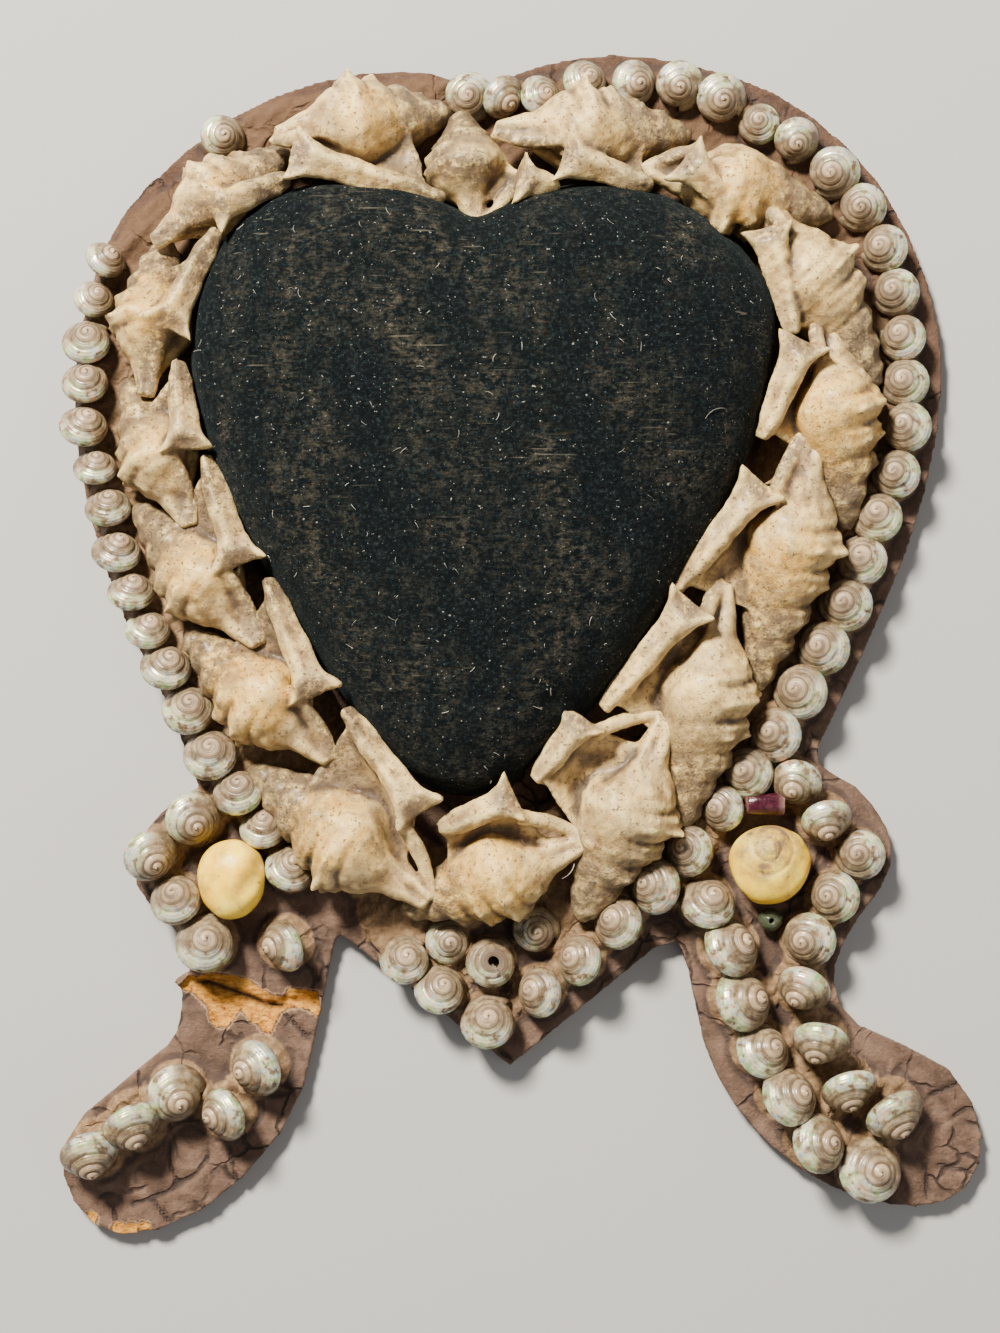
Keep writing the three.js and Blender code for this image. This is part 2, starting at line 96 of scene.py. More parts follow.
# Top shells: small pearly grey sea snails, each a cone of four round whorls standing on its mouth in glue.
# Every row gives a shell's middle in millimetres, its share of the usual width, and how far its apex leans.
TOP_SHELL_WIDTH = 9.2 * MM
TOP_SHELL_HEIGHT = 8.0 * MM
SHELL_ROWS = {
    "left_rim_upper": [
        (-71.1, 69.5, 0.82, 2.3, 1.8), (-73.3, 62.7, 0.77, 1.3, 1.4), (-74.5, 54.9, 0.97, 0.4, 2.2),
        (-74.7, 47.6, 0.93, 0.5, 2.3), (-74.9, 39.7, 0.93, 1.4, 2.7)],
    "left_rim_middle": [
        (-72.9, 32.4, 0.85, 0.7, 2.9), (-70.6, 25.3, 0.89, 0.4, 2.9), (-69.2, 17.4, 0.93, 1.3, 3.1),
        (-66.5, 10.3, 0.89, 0.9, 3.1)],
    "left_rim_lower": [
        (-63.5, 3.5, 0.89, 0.9, 2.7), (-60.3, -3.2, 0.97, 1.3, 2.7), (-56.3, -10.7, 1, 0.5, 2.2),
        (-52.4, -18.7, 1.04, 0, 2.3)],
    "top_rim": [
        (-6.1, 98.6, 0.97, 0, -0.5), (-0.2, 98.4, 0.89, 2.2, -2.5), (6.6, 98.9, 0.85, 1.6, 0.5),
        (14.4, 101.6, 0.85, 1, 1), (23.3, 101.2, 0.89, 1.3, -0.5), (31.4, 100.7, 0.93, 0, -1.3),
        (38.9, 98.6, 0.97, 0.4, -1.1)],
    "right_rim_upper": [
        (45.6, 94.1, 0.78, -0.5, 0), (52.2, 90.9, 0.89, 0.2, -1.8), (59, 85, 1, -1.3, -0.9),
        (64, 78.9, 0.93, -0.9, -0.9), (67.9, 71.6, 0.9, -1.8, 0)],
    "right_rim_middle": [
        (70.1, 63.8, 0.9, -1.6, 0.2), (71.1, 55.6, 0.9, -1.8, 0.7), (71.5, 47.7, 0.93, -1.4, 0.4),
        (71.8, 39.7, 0.97, -2.2, 0.4), (69.9, 31.3, 0.97, -1.6, 0.2)],
    "right_rim_lower": [
        (66.5, 23.5, 0.97, -0.9, 1.3), (63.8, 16, 1, -1.4, 1.3), (60.8, 8, 1.08, -1.8, 0.4),
        (56.9, 0.3, 1.04, -2, 0.5), (52.8, -7.5, 1.08, -2.2, 0.5), (48.3, -15.2, 1.04, -2.2, 0.7)],
    "right_point": [
        (43.5, -22, 1, -1.8, 0.7), (38.9, -28.2, 0.93, -2.7, 0), (32.8, -35.7, 1.04, -2.3, 0.9),
        (26.9, -42.1, 1.08, -3.2, 1.1), (20.3, -48.7, 1.04, -2.7, 1.4), (13.5, -55.3, 1, -3.2, 1.3),
        (6.4, -61, 1, -3.1, 0.9), (-3, -66.3, 1.08, -0.4, 2.2)],
    "left_point": [
        (-11.4, -60.6, 1, 0.9, 2.3), (-17.8, -55.3, 0.97, 0.5, 2), (-10.2, -52.1, 0.85, 0.4, 0.2),
        (-2.5, -55.8, 0.97, 0.3, 1.2), (5.9, -49.9, 0.89, 0.2, 0)],
    "right_hip": [
        (52.2, -23.7, 0.97, -1.4, -2.2), (57.4, -30.3, 1, 0.2, -3.6), (63.5, -36.6, 0.97, -1.4, 0.2),
        (59, -44.1, 1, -2.3, 0.4), (54.5, -51.7, 1.04, -2.3, -0.4)],
    "right_hip_inner": [
        (36.2, -45.1, 1.08, 0.7, 3), (40.3, -53, 1.15, 3.6, 2.2), (42.4, -62.4, 1.18, 3.8, 1.3)],
    "right_leg": [
        (53.3, -60.1, 1.04, -2.5, -2.9), (56.3, -69.6, 1.1, -2, -4.9), (61.3, -78.1, 1.1, 0.7, -4.9),
        (69.3, -82.4, 1.18, 2.5, -5.6)],
    "right_foot": [
        (46, -71.3, 1.08, 2.5, 1.8), (50.6, -79.4, 1.15, 3.2, 2), (55.8, -87.7, 1.15, 3.2, 1.3),
        (65.2, -92.7, 1.22, 1.1, 0.9)],
    "left_hip": [
        (-47.4, -25.5, 0.97, 0, 2.9), (-55.4, -30, 1.1, 1.8, -1.6), (-62.8, -36.6, 1.1, 2.2, -2.3),
        (-58.5, -44.6, 1, -0.5, 2.2), (-53.3, -52.3, 1.15, 0.4, 2)],
    "left_hip_inner": [(-43, -31.8, 0.89, 0.2, 2.9), (-38.2, -38.9, 0.97, 1.1, 2.3)],
    "left_leg_lone": [(-39.2, -52.6, 1.04, -4.3, -0.7)],
    "left_foot": [
        (-44, -74.5, 1.1, -3.6, -0.7), (-49.7, -82.6, 1.08, -3.8, -0.7), (-58.5, -79, 1.1, 1.8, -1.6),
        (-66.1, -84.4, 1.18, 2.2, -4.3), (-73.5, -89.5, 1.15, 1.1, -4.5)],
    "top_left_lone": [(-50.3, 91.8, 0.85, 1.1, 0)],
}
BROKEN_SHELL = SHELL_ROWS["left_point"][3]
WHORL_STEPS = 24
PROFILE_STEPS = 13
WHORL_SLOPE = math.radians(42)
SHELL_TURNS = 3.7
BROKEN_FROM = 2.0
dice = np.random.default_rng(16)


def coiled_shell(width, height, turns, growth, begin=0.0):
    """Points, faces and two marks of a coiled shell, from the apex down to a mouth that tucks under."""
    radius = 0.53 * width
    wide = 0.50 * radius
    tall = 0.235 * height
    run, drop = math.cos(WHORL_SLOPE), math.sin(WHORL_SLOPE)
    steps = int((turns - begin) * WHORL_STEPS)
    points = []
    across = []
    along = []
    for i in range(steps + 1):
        back = (turns - begin) * (1 - i / steps)
        size = growth ** -back
        angle = -2 * math.pi * (turns - back)
        started = 1 - math.exp(-1.6 * i / WHORL_STEPS)
        middle = 0.577 * radius * size * (0.84 + 0.16 * min(back / 0.4, 1)) * (started if begin == 0 else 1)
        level = height - 0.70 * height * size
        first_bend = 165 + (45 * max(0.0, 1 - i / (1.2 * WHORL_STEPS)) if begin == 0 else 0)
        for j in range(PROFILE_STEPS + 1):
            share = j / PROFILE_STEPS
            bend = math.radians(first_bend - (first_bend + 110) * share)
            outward, upward = wide * size * math.cos(bend), tall * size * math.sin(bend)
            out = middle + outward * run + upward * drop
            high = level - outward * drop + upward * run
            points.append((out * math.cos(angle), out * math.sin(angle), high))
            across.append(share)
            along.append(1 - back / turns)
        points.append((0.0, 0.0, level - 0.9 * tall * size))
        across.append(1.0)
        along.append(1 - back / turns)
    row = PROFILE_STEPS + 2
    faces = [(i * row + j, i * row + j + 1, (i + 1) * row + j + 1, (i + 1) * row + j)
             for i in range(steps) for j in range(row - 1)]
    last = steps * row
    faces.append(tuple(last + j for j in range(row)))
    points = np.array(points)
    found = (points[:, :2].max(axis=0) - points[:, :2].min(axis=0)).mean()
    points[:, :2] *= width / found
    return points, faces, np.array(across), np.array(along)


def stand_shell(points, x, y, lean_x, lean_y, reach, turn):
    """Leans the shell's axis so that its apex stands off its middle, and sets its foot in the glue."""
    tilt = min(math.hypot(lean_x, lean_y) * MM / reach, 0.8)
    axis = Vector((lean_x, lean_y, 0)).normalized() * tilt
    axis.z = math.sqrt(1 - tilt * tilt)
    spin = Vector((0, 0, 1)).rotation_difference(axis).to_matrix() @ Matrix.Rotation(turn, 3, "Z")
    stood = points @ np.array(spin).T
    middle = (stood.min(axis=0) + stood.max(axis=0)) / 2
    return stood + np.array([x * MM - middle[0], y * MM - middle[1], BOARD_TOP - stood[:, 2].min()])


def set_mark(mesh, name, values):
    made = mesh.attributes.new(name, "FLOAT", "POINT")
    made.data.foreach_set("value", np.asarray(values, dtype=np.float32))


def dress(mesh, finish):
    """Smooth shading and one material."""
    mesh.polygons.foreach_set("use_smooth", [True] * len(mesh.polygons))
    mesh.materials.clear()
    mesh.materials.append(finish)


def make_piece(name, points, faces, marks, finish):
    """A mesh object of these points and faces, with each mark stored on its vertices."""
    mesh = bpy.data.meshes.new(name)
    mesh.from_pydata([tuple(p) for p in points], [], faces)
    for key, values in marks.items():
        set_mark(mesh, key, values)
    dress(mesh, finish)
    piece = bpy.data.objects.new(name, mesh)
    bpy.context.collection.objects.link(piece)
    return piece


def node(source, kind, values=(), **settings):
    """A node in the same tree as a socket that leads into it; the values fill its next sockets."""
    made = source.id_data.nodes.new(kind)
    for key, value in settings.items():
        setattr(made, key, value)
    for socket, value in zip(made.inputs, (source, *values)):
        fill(socket, value)
    return made


def fill(socket, value):
    if isinstance(value, bpy.types.NodeSocket):
        socket.id_data.links.new(value, socket)
    elif socket.type == "RGBA":
        socket.default_value = (*value, 1)
    else:
        socket.default_value = value


def fill_in(made, values):
    for name, value in values.items():
        fill(made.inputs[name], value)


def ramp(source, stops):
    """Colours at places from 0 to 1; a stop that is one number is a grey."""
    made = node(source, "ShaderNodeValToRGB")
    while len(made.color_ramp.elements) < len(stops):
        made.color_ramp.elements.new(0.5)
    for element, (place, colour) in zip(made.color_ramp.elements, stops):
        element.position = place
        element.color = (*colour, 1) if isinstance(colour, tuple) else (colour, colour, colour, 1)
    return made.outputs["Color"]


def blend_colour(amount, first, second):
    made = node(amount, "ShaderNodeMix", data_type="RGBA")
    fill(made.inputs[6], first)
    fill(made.inputs[7], second)
    return made.outputs[2]


def sums(operation, first, second=0.0, third=0.0):
    return node(first, "ShaderNodeMath", (second, third), operation=operation).outputs[0]


def times(first, second):
    return sums("MULTIPLY", first, second)


def plus(first, second):
    return sums("ADD", first, second)


def noise(place, size_mm, detail=3.0, rough=0.55, stretch=None):
    """Noise whose grains are about this many millimetres across."""
    if stretch:
        place = node(place, "ShaderNodeVectorMath", (stretch,), operation="MULTIPLY").outputs[0]
    made = node(place, "ShaderNodeTexNoise")
    fill_in(made, {"Scale": 1 / (size_mm * MM), "Detail": detail, "Roughness": rough})
    return made.outputs["Fac"]


def bump(height, strength, depth_mm):
    made = height.id_data.nodes.new("ShaderNodeBump")
    fill_in(made, {"Strength": strength, "Distance": depth_mm * MM, "Height": height})
    return made.outputs["Normal"]


def mark(tree, name):
    made = tree.nodes.new("ShaderNodeAttribute")
    made.attribute_name = name
    return made.outputs["Fac"]


def new_finish(name):
    """An empty material with its shader and the object's own coordinates."""
    finish = bpy.data.materials.new(name)
    finish.use_nodes = True
    tree = finish.node_tree
    place = tree.nodes.new("ShaderNodeTexCoord").outputs["Object"]
    return finish, tree, tree.nodes["Principled BSDF"], place


def grime_group():
    """The grime of a century, on shells and board alike: brown dust in patches and in the hollows. What
    comes in as hollows also carries painted shade on the low flanks of the pelican's foot shells and inside
    the beads' thread holes.
    """
    group = bpy.data.node_groups.new("old_grime", "ShaderNodeTree")
    for name, kind, value in (("Color", "NodeSocketColor", (1, 1, 1, 1)),
                              ("Vector", "NodeSocketVector", (0, 0, 0)),
                              ("Hollows", "NodeSocketFloat", 0.0), ("Amount", "NodeSocketFloat", 0.5),
                              ("Dirt", "NodeSocketColor", (0.12, 0.08, 0.05, 1))):
        socket = group.interface.new_socket(name=name, in_out="INPUT", socket_type=kind)
        socket.default_value = value
    group.interface.new_socket(name="Color", in_out="OUTPUT", socket_type="NodeSocketColor")
    group.interface.new_socket(name="Mask", in_out="OUTPUT", socket_type="NodeSocketFloat")
    inside = group.nodes.new("NodeGroupInput").outputs
    outside = group.nodes.new("NodeGroupOutput")
    patches = noise(inside["Vector"], 3.2, 5.0, 0.65)
    laid = plus(inside["Hollows"], times(sums("SUBTRACT", patches, 0.47), 2.4))
    mask = times(laid, inside["Amount"])
    mask.node.use_clamp = True
    fill_in(outside, {"Color": blend_colour(mask, inside["Color"], inside["Dirt"]), "Mask": mask})
    return group


OLD_GRIME = grime_group()


def grimed(colour, place, hollows, amount, dirt):
    made = node(colour, "ShaderNodeGroup", (place, hollows, amount, dirt), node_tree=OLD_GRIME)
    return made.outputs["Color"], made.outputs["Mask"]


def nacre_finish():
    """Worn mother-of-pearl: a silver-green crescent on the body whorl's round, brown in the sutures, and a
    pale band on each whorl's shoulder that is partly rubbed wear and partly painted highlight.
    """
    finish, tree, shader, place = new_finish("top_shell_nacre")
    across = mark(tree, "across")
    along = mark(tree, "along")
    lustre = ramp(noise(place, 2.6, 2.0), [
        (0.32, (0.52, 0.38, 0.19)), (0.41, (0.38, 0.70, 0.32)), (0.49, (0.95, 0.86, 0.52)),
        (0.57, (0.46, 0.68, 0.70)), (0.66, (0.88, 0.58, 0.36))])
    horn = ramp(noise(place, 1.5, 5.0, 0.65), [
        (0.32, (0.055, 0.034, 0.016)), (0.45, (0.108, 0.070, 0.036)), (0.58, (0.200, 0.135, 0.070)),
        (0.72, (0.38, 0.275, 0.15))])
    wear = ramp(noise(place, 1.9, 3.0), [(0.36, 0), (0.52, 1)])
    pearly = times(mark(tree, "shine"), wear)
    pearl = blend_colour(pearly, horn, lustre)
    apex = ramp(along, [(0.26, 1), (0.52, 0)])
    body = blend_colour(times(apex, 0.62), pearl, (0.56, 0.395, 0.25))
    # Painted highlight with rubbed wear: a pale band on each whorl's shoulder, brightest on the worn side.
    rubbed_and_highlit = ramp(across, [(0.21, 0), (0.28, 1), (0.40, 0)])
    highlit_side = sums("MULTIPLY_ADD", mark(tree, "shine"), 0.55, 0.14)
    edged = blend_colour(times(times(rubbed_and_highlit, wear), highlit_side), body, (0.80, 0.72, 0.52))
    cords = sums("SINE", times(across, 95.0))
    lined = blend_colour(times(plus(cords, 1.0), 0.07), edged, (0.16, 0.11, 0.07))
    suture = ramp(across, [(0.0, 1), (0.185, 0.85), (0.215, 0.03), (0.52, 0.08), (0.80, 0.9)])
    worn_top = ramp(along, [(0.15, 0.25), (0.50, 1)])
    colour, dirt = grimed(lined, place, times(suture, worn_top), 1.10, (0.088, 0.055, 0.030))
    relief = plus(times(cords, 0.3), noise(place, 0.7, 3.0))
    fill_in(shader, {"Base Color": colour, "Roughness": sums("MULTIPLY_ADD", dirt, 0.45, 0.26),
                     "Metallic": times(pearly, 0.45), "Normal": bump(relief, 0.5, 0.10)})
    return finish


nacre = nacre_finish()
for row_name, row in SHELL_ROWS.items():
    gathered = {"points": [], "faces": [], "across": [], "along": [], "shine": []}
    count = 0
    for shell in row:
        x, y, share, lean_x, lean_y = shell
        points, faces, across, along = coiled_shell(
            TOP_SHELL_WIDTH * share * 1.04, TOP_SHELL_HEIGHT * share * dice.uniform(0.92, 1.08),
            SHELL_TURNS, dice.uniform(1.41, 1.49), BROKEN_FROM if shell is BROKEN_SHELL else 0)
        low_side = math.atan2(lean_y, lean_x)
        points = stand_shell(points, x, y, lean_x, lean_y, TOP_SHELL_HEIGHT * share * 0.62,
                             low_side + 2 * math.pi * SHELL_TURNS + dice.uniform(-0.9, 0.9))
        worn_way = low_side + math.pi + dice.uniform(-0.5, 0.5)
        from_middle = points[:, :2] - np.array([x, y]) * MM
        outward = from_middle @ np.array([math.cos(worn_way), math.sin(worn_way)])
        facing = np.clip(outward / (0.5 * TOP_SHELL_WIDTH * share), -1, 1)
        shine = np.clip((facing - 0.05) / 0.35, 0, 1) * np.clip(1.5 - 2.2 * np.abs(across - 0.36), 0, 1)
        gathered["shine"].append(shine * dice.uniform(0.7, 1.0))
        gathered["points"].append(points)
        gathered["faces"] += [tuple(count + corner for corner in face) for face in faces]
        gathered["across"].append(across)
        gathered["along"].append(along)
        count += len(points)
    marks = {key: np.concatenate(gathered[key]) for key in ("across", "along", "shine")}
    cluster = make_piece("top_shells_" + row_name + "_pearl", np.vstack(gathered["points"]),
                         gathered["faces"], marks, nacre)
    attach(cluster, "root")
    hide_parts("top_shells_" + row_name)


# Pelican's-foot shells: worn and broken grey-cream shells, glued down in a ring with their lips up. Each
# has a knobbed, stepped spire tucked under its neighbour, and a lip whose fingers have snapped to stumps.
# The last two traits in a row say how ochre its mouth is and how pale its top.
PELICAN_GIRTH = 16.0
WREATH_TRAITS = ("tip", "apex", "finger", "end", "girth", "ochre", "pale")
WREATH = [dict(zip(WREATH_TRAITS, row)) for row in (
    ((-5.2, 75.3), (-7.8, 95.8), (4.5, 81.6), (9.1, 80.5), 0.9, 0.2, 0.8),
    ((-40.4, 90.8), (-9.3, 95.8), (-35.3, 85.8), (-10.4, 78.6), 1.0, 0.7, 0.6),
    ((-61.7, 71.8), (-38.1, 89.0), (-49.3, 77.3), (-37.3, 82.4), 0.9, 0.5, 0.5),
    ((-63.4, 44.7), (-60.4, 73.3), (-58.0, 57.5), (-50.3, 73.5), 0.9, 0.8, 0.5),
    ((-55.6, 21.7), (-67.5, 48.4), (-55.4, 36.6), (-57.0, 50.6), 0.85, 0.5, 0.5),
    ((-43.4, 0.8), (-65.7, 25.8), (-46.5, 16.5), (-52.3, 34.2), 0.9, 0.6, 0.4),
    ((-30.7, -19.6), (-56.8, 3.5), (-33.5, -6.2), (-41.5, 12.6), 1.0, 1.0, 0.4),
    ((-13.3, -44.5), (-44.9, -21.0), (-15.6, -27.2), (-27.8, -10.3), 1.1, 0.7, 0.5),
    ((14.1, -34.1), (-18.5, -46.7), (0.2, -26.3), (-11.3, -31.4), 1.0, 1.0, 0.4),
    ((28.5, -12.3), (13.5, -48.5), (12.4, -13.2), (5.4, -22.9), 1.1, 0.2, 0.7),
    ((39.0, 11.6), (31.9, -31.7), (31.6, 6.9), (17.2, -10.3), 1.05, 0.1, 0.8),
    ((55.0, 40.0), (45.0, -7.2), (43.8, 27.8), (29.5, 10.1), 1.05, 0.6, 0.6),
    ((56.4, 60.0), (61.2, 21.3), (51.3, 52.3), (45.0, 36.9), 1.0, 1.0, 0.5),
    ((44.0, 80.5), (66.9, 47.2), (46.1, 71.8), (50.6, 55.3), 1.0, 0.4, 0.8),
    ((25.4, 84.4), (58.6, 77.4), (32.5, 84.1), (43.6, 74.5), 1.0, 0.7, 0.6),
    ((-1.6, 91.7), (33.5, 91.7), (11.9, 85.5), (26.0, 80.8), 1.0, 0.4, 0.7),
)]
SPINDLE_STATIONS = 110
SPINDLE_SIDES = 56
STRAP_STATIONS, STRAP_SIDES = 32, 36
WEB_STATIONS = 12
RIM_STATIONS, RIM_SIDES = 18, 16
LIP_RISE = 13.5
LIP_REST = 11.0
PELICAN_RISE = 7.2
FAN_REACH = 2.2
SHELL_GRAIN = 0.45 * MM


def smooth_path(knots, share):
    """A point on the smooth curve through three knots."""
    first, second, third = (Vector(knot) for knot in knots)
    bend = 2 * second - 0.5 * (first + third)
    return (1 - share) ** 2 * first + 2 * share * (1 - share) * bend + share ** 2 * third


def heading(knots, share, step):
    """Which way the smooth curve runs at a point on it."""
    ahead = smooth_path(knots, min(share + step, 1))
    return (ahead - smooth_path(knots, max(share - step, 0))).normalized()


def corners_of(shell):
    return [Vector(shell[trait]) for trait in ("tip", "apex", "finger", "end")]


def ripples(points, size, seed, waves=7):
    """Smooth seeded unevenness from -1 to 1, with humps about this size across."""
    chance = np.random.default_rng(seed)
    total = np.zeros(len(points))
    for _ in range(waves):
        way = chance.normal(size=3)
        way *= 2 * math.pi / (size * chance.uniform(0.7, 1.6) * np.linalg.norm(way))
        total += np.sin(points @ way + chance.uniform(0, 2 * math.pi))
    return total / math.sqrt(waves * 0.5) * 0.6


def tube_faces(rows, sides, rings, first=0):
    """Faces in rows round a tube; where there are as many rings as rows, its ends are joined."""
    return [tuple(first + ring % rings * sides + side % sides
                  for ring, side in ((i, j), (i, j + 1), (i + 1, j + 1), (i + 1, j)))
            for i in range(rows) for j in range(sides)]


def lofted(rings):
    """Points and faces of a closed skin over rings that have as many points each."""
    sides = len(rings[0])
    points = [p for ring in rings for p in ring]
    faces = tube_faces(len(rings) - 1, sides, len(rings))
    faces.append(tuple(range(sides - 1, -1, -1)))
    faces.append(tuple((len(rings) - 1) * sides + j for j in range(sides)))
    return points, faces


def spindle_girth(share):
    """The shell's outline from the apex at 0 to the canal's tip at 1, as a share of its half girth."""
    return float(np.interp(share, [0, 0.05, 0.2, 0.36, 0.48, 0.57, 0.64, 0.72, 0.80, 0.90, 1.0],
                           [0.12, 0.27, 0.52, 0.76, 0.93, 1.0, 0.93, 0.66, 0.42, 0.28, 0.17]))


def spindle_rings(shell, seed):
    """The coiled body: ribbed and knobbed outside and on the spire, smooth where glaze covers the mouth."""
    tip, apex, finger, _ = corners_of(shell)
    middle = (tip + apex) / 2
    knots = [(*apex, BOARD_LEVEL + 0.5 * PELICAN_RISE), (*middle, BOARD_LEVEL + 0.85 * PELICAN_RISE),
             (*tip, BOARD_LEVEL + 1.25 * PELICAN_RISE)]
    half = 0.53 * PELICAN_GIRTH * shell["girth"]
    flat_way = (tip - apex).normalized()
    across = Vector((-flat_way.y, flat_way.x, 0))
    handed = 1 if (finger - middle).dot(across.xy) > 0 else -1
    inward = across * handed
    knobs_a_turn = 9
    rings = []
    for i in range(SPINDLE_STATIONS + 1):
        share = i / SPINDLE_STATIONS
        centre = smooth_path(knots, share)
        up = heading(knots, share, 0.01).cross(across).normalized()
        up = up if up.z > 0 else -up
        spire = float(np.interp(share, [0.0, 0.30, 0.46], [1.0, 0.8, 0.0]))
        canal = float(np.interp(share, [0.76, 0.90], [0.0, 1.0]))
        fade = float(np.interp(share, [0.0, 0.62, 0.78, 1.0], [1.0, 1.0, 0.3, 0.0]))
        ring = []
        for j in range(SPINDLE_SIDES):
            angle = 2 * math.pi * j / SPINDLE_SIDES
            turned = 5.3 * (share / 0.62) ** 0.74 - handed * angle / (2 * math.pi)
            part = turned % 1.0
            outer = min(max(0.35 - 0.9 * math.cos(angle - 0.25), 0.0), 1.0)
            ribbed = fade * max(outer, 0.45 * spire)
            groove = -0.14 * math.exp(-(min(part, 1 - part) / 0.10) ** 2)
            uneven = 0.75 + 0.35 * math.sin(3.1 * seed + 2.3 * math.floor(turned) + 2.0 * angle)
            knob = uneven * (0.5 + 0.5 * math.cos(knobs_a_turn * angle + 1.7 * math.floor(turned))) ** 1.5
            keel = (0.07 + 0.20 * knob) * math.exp(-((part - 0.50) / 0.13) ** 2)
            second = (0.03 + 0.07 * knob) * math.exp(-((part - 0.80) / 0.07) ** 2)
            glazed = math.exp(-((share - 0.55) / 0.15) ** 2) * math.exp(-((angle - 1.35) / 0.75) ** 2)
            slit = math.exp(-((share - 0.74) / 0.13) ** 2) * math.exp(-((angle - 0.55) / 0.30) ** 2)
            gutter = canal * math.exp(-((angle - 1.45) / 0.42) ** 2)
            swell = 1 + ribbed * (groove + keel + second) + 0.10 * glazed
            radius = half * spindle_girth(share) * swell * (1 - 0.30 * slit) * (1 - 0.5 * gutter)
            ring.append(centre + inward * radius * math.cos(angle) + up * radius * math.sin(angle))
        rings.append(ring)
    return rings


def strap_rings(shell):
    """The lip's free edge: a roof-shaped strap that flares to a fan, hollow where it broke off."""
    tip, apex, finger, end = corners_of(shell)
    start = finger + (finger - end).normalized() * FAN_REACH
    knots = [(*start, BOARD_LEVEL + LIP_RISE + 0.8),
             (*(finger * 0.6 + end * 0.4), BOARD_LEVEL + LIP_RISE - 0.6), (*end, BOARD_LEVEL + LIP_REST)]
    rings = []
    for i in range(STRAP_STATIONS + 1):
        share = i / STRAP_STATIONS
        centre = smooth_path(knots, share)
        ahead = heading(knots, share, 0.02)
        across = Vector((-ahead.y, ahead.x, 0)).normalized()
        across = across if across.xy.dot((tip + apex) / 2 - finger) > 0 else -across
        up = ahead.cross(across).normalized()
        up = up if up.z > 0 else -up
        wide = float(np.interp(share, [0, 0.07, 0.16, 0.30, 0.5, 0.8, 1.0],
                               [5.2, 4.5, 3.4, 2.7, 2.5, 2.2, 1.3]))
        thick = float(np.interp(share, [0, 0.12, 0.3, 0.7, 1.0], [2.0, 2.0, 1.9, 1.9, 1.2]))
        forked = float(np.interp(share, [0, 0.25], [1.0, 0.0]))
        hollowed = float(np.interp(share, [0, 0.22], [0.5, 0.0]))
        ring = []
        for j in range(STRAP_SIDES):
            angle = 2 * math.pi * j / STRAP_SIDES
            out = math.cos(angle)
            lift = thick * 0.8 * math.copysign(abs(math.sin(angle)) ** 0.75, math.sin(angle))
            if math.sin(angle) > 0:
                roof = 0.75 * math.exp(-((out - 0.35) / 0.42) ** 2) - 0.55 * max(-out, 0)
                fork = 0.9 * math.exp(-((abs(out) - 0.80) / 0.20) ** 2)
                scoop = 1.7 * max(0.0, 1 - share / 0.16) * (1 - abs(out) ** 4)
                lift += (1 - forked) * roof + forked * fork - scoop
            back = hollowed * (1 - abs(out) ** 2.6)
            ring.append(centre + ahead * back + across * wide * out + up * lift)
        rings.append(ring)
    return rings


def web_rings(shell):
    """The wall that joins the lip's edge to the body of the shell."""
    tip, apex, finger, end = corners_of(shell)
    rings = []
    for i in range(WEB_STATIONS + 1):
        share = i / WEB_STATIONS
        root = tip.lerp(apex, 0.14 + 0.60 * share)
        edge = finger.lerp(end, -0.04 + 0.94 * share)
        fullness = 0.36 * PELICAN_GIRTH * shell["girth"] * spindle_girth(0.86 - 0.60 * share)
        root = root + (edge - root).normalized() * fullness
        low = Vector((*root, BOARD_LEVEL + 1.15 * PELICAN_RISE))
        high = Vector((*edge, BOARD_LEVEL + LIP_RISE - 0.6))
        knee = low.lerp(high, 0.5) - Vector((0, 0, 2.2))
        wall = [smooth_path([low, knee, high], step) for step in (0, 0.25, 0.5, 0.75, 1.0)]
        thick = Vector((0, 0, 0.8))
        rings.append([spot + thick for spot in wall] + [spot - thick for spot in reversed(wall)])
    return rings


def rim_rings(shell):
    """The lip's thick edge, from the outer corner of the broken fan round to the tip of the canal."""
    tip, apex, finger, end = corners_of(shell)
    way = (finger - end).normalized()
    aside = Vector((-way.y, way.x))
    aside = aside if aside.dot((tip + apex) / 2 - finger) > 0 else -aside
    corner = finger + way * 0.8 + aside * 3.6
    out = (finger - (tip + apex) / 2).normalized()
    knots = [(*corner, BOARD_LEVEL + LIP_RISE - 0.6),
             (*(corner.lerp(tip, 0.55) + out * 1.3), BOARD_LEVEL + 0.62 * LIP_RISE + 1.2),
             (*(tip + out * 0.8), BOARD_LEVEL + 1.2 * PELICAN_RISE)]
    rings = []
    for i in range(RIM_STATIONS + 1):
        share = i / RIM_STATIONS
        centre = smooth_path(knots, share)
        ahead = heading(knots, share, 0.02)
        across = Vector((-ahead.y, ahead.x, 0)).normalized()
        up = ahead.cross(across).normalized()
        thick = float(np.interp(share, [0, 0.5, 1.0], [1.5, 1.35, 0.9]))
        turns = [2 * math.pi * j / RIM_SIDES for j in range(RIM_SIDES)]
        rings.append([centre + across * thick * math.cos(turn) + up * thick * 0.9 * math.sin(turn)
                      for turn in turns])
    return rings


def merged_skin(name, parts, grain):
    """One closed skin round several overlapping solids, given in millimetres."""
    mesh = bpy.data.meshes.new(name)
    points = []
    faces = []
    for part_points, part_faces in parts:
        faces += [tuple(len(points) + corner for corner in face) for face in part_faces]
        points += [tuple(Vector(p) * MM) for p in part_points]
    mesh.from_pydata(points, [], faces)
    shaped = bmesh.new()
    shaped.from_mesh(mesh)
    bmesh.ops.recalc_face_normals(shaped, faces=shaped.faces)
    shaped.to_mesh(mesh)
    shaped.free()
    piece = bpy.data.objects.new(name, mesh)
    bpy.context.collection.objects.link(piece)
    skin = piece.modifiers.new("skin", "REMESH")
    skin.mode = "VOXEL"
    skin.voxel_size = grain
    settle(piece)
    return piece


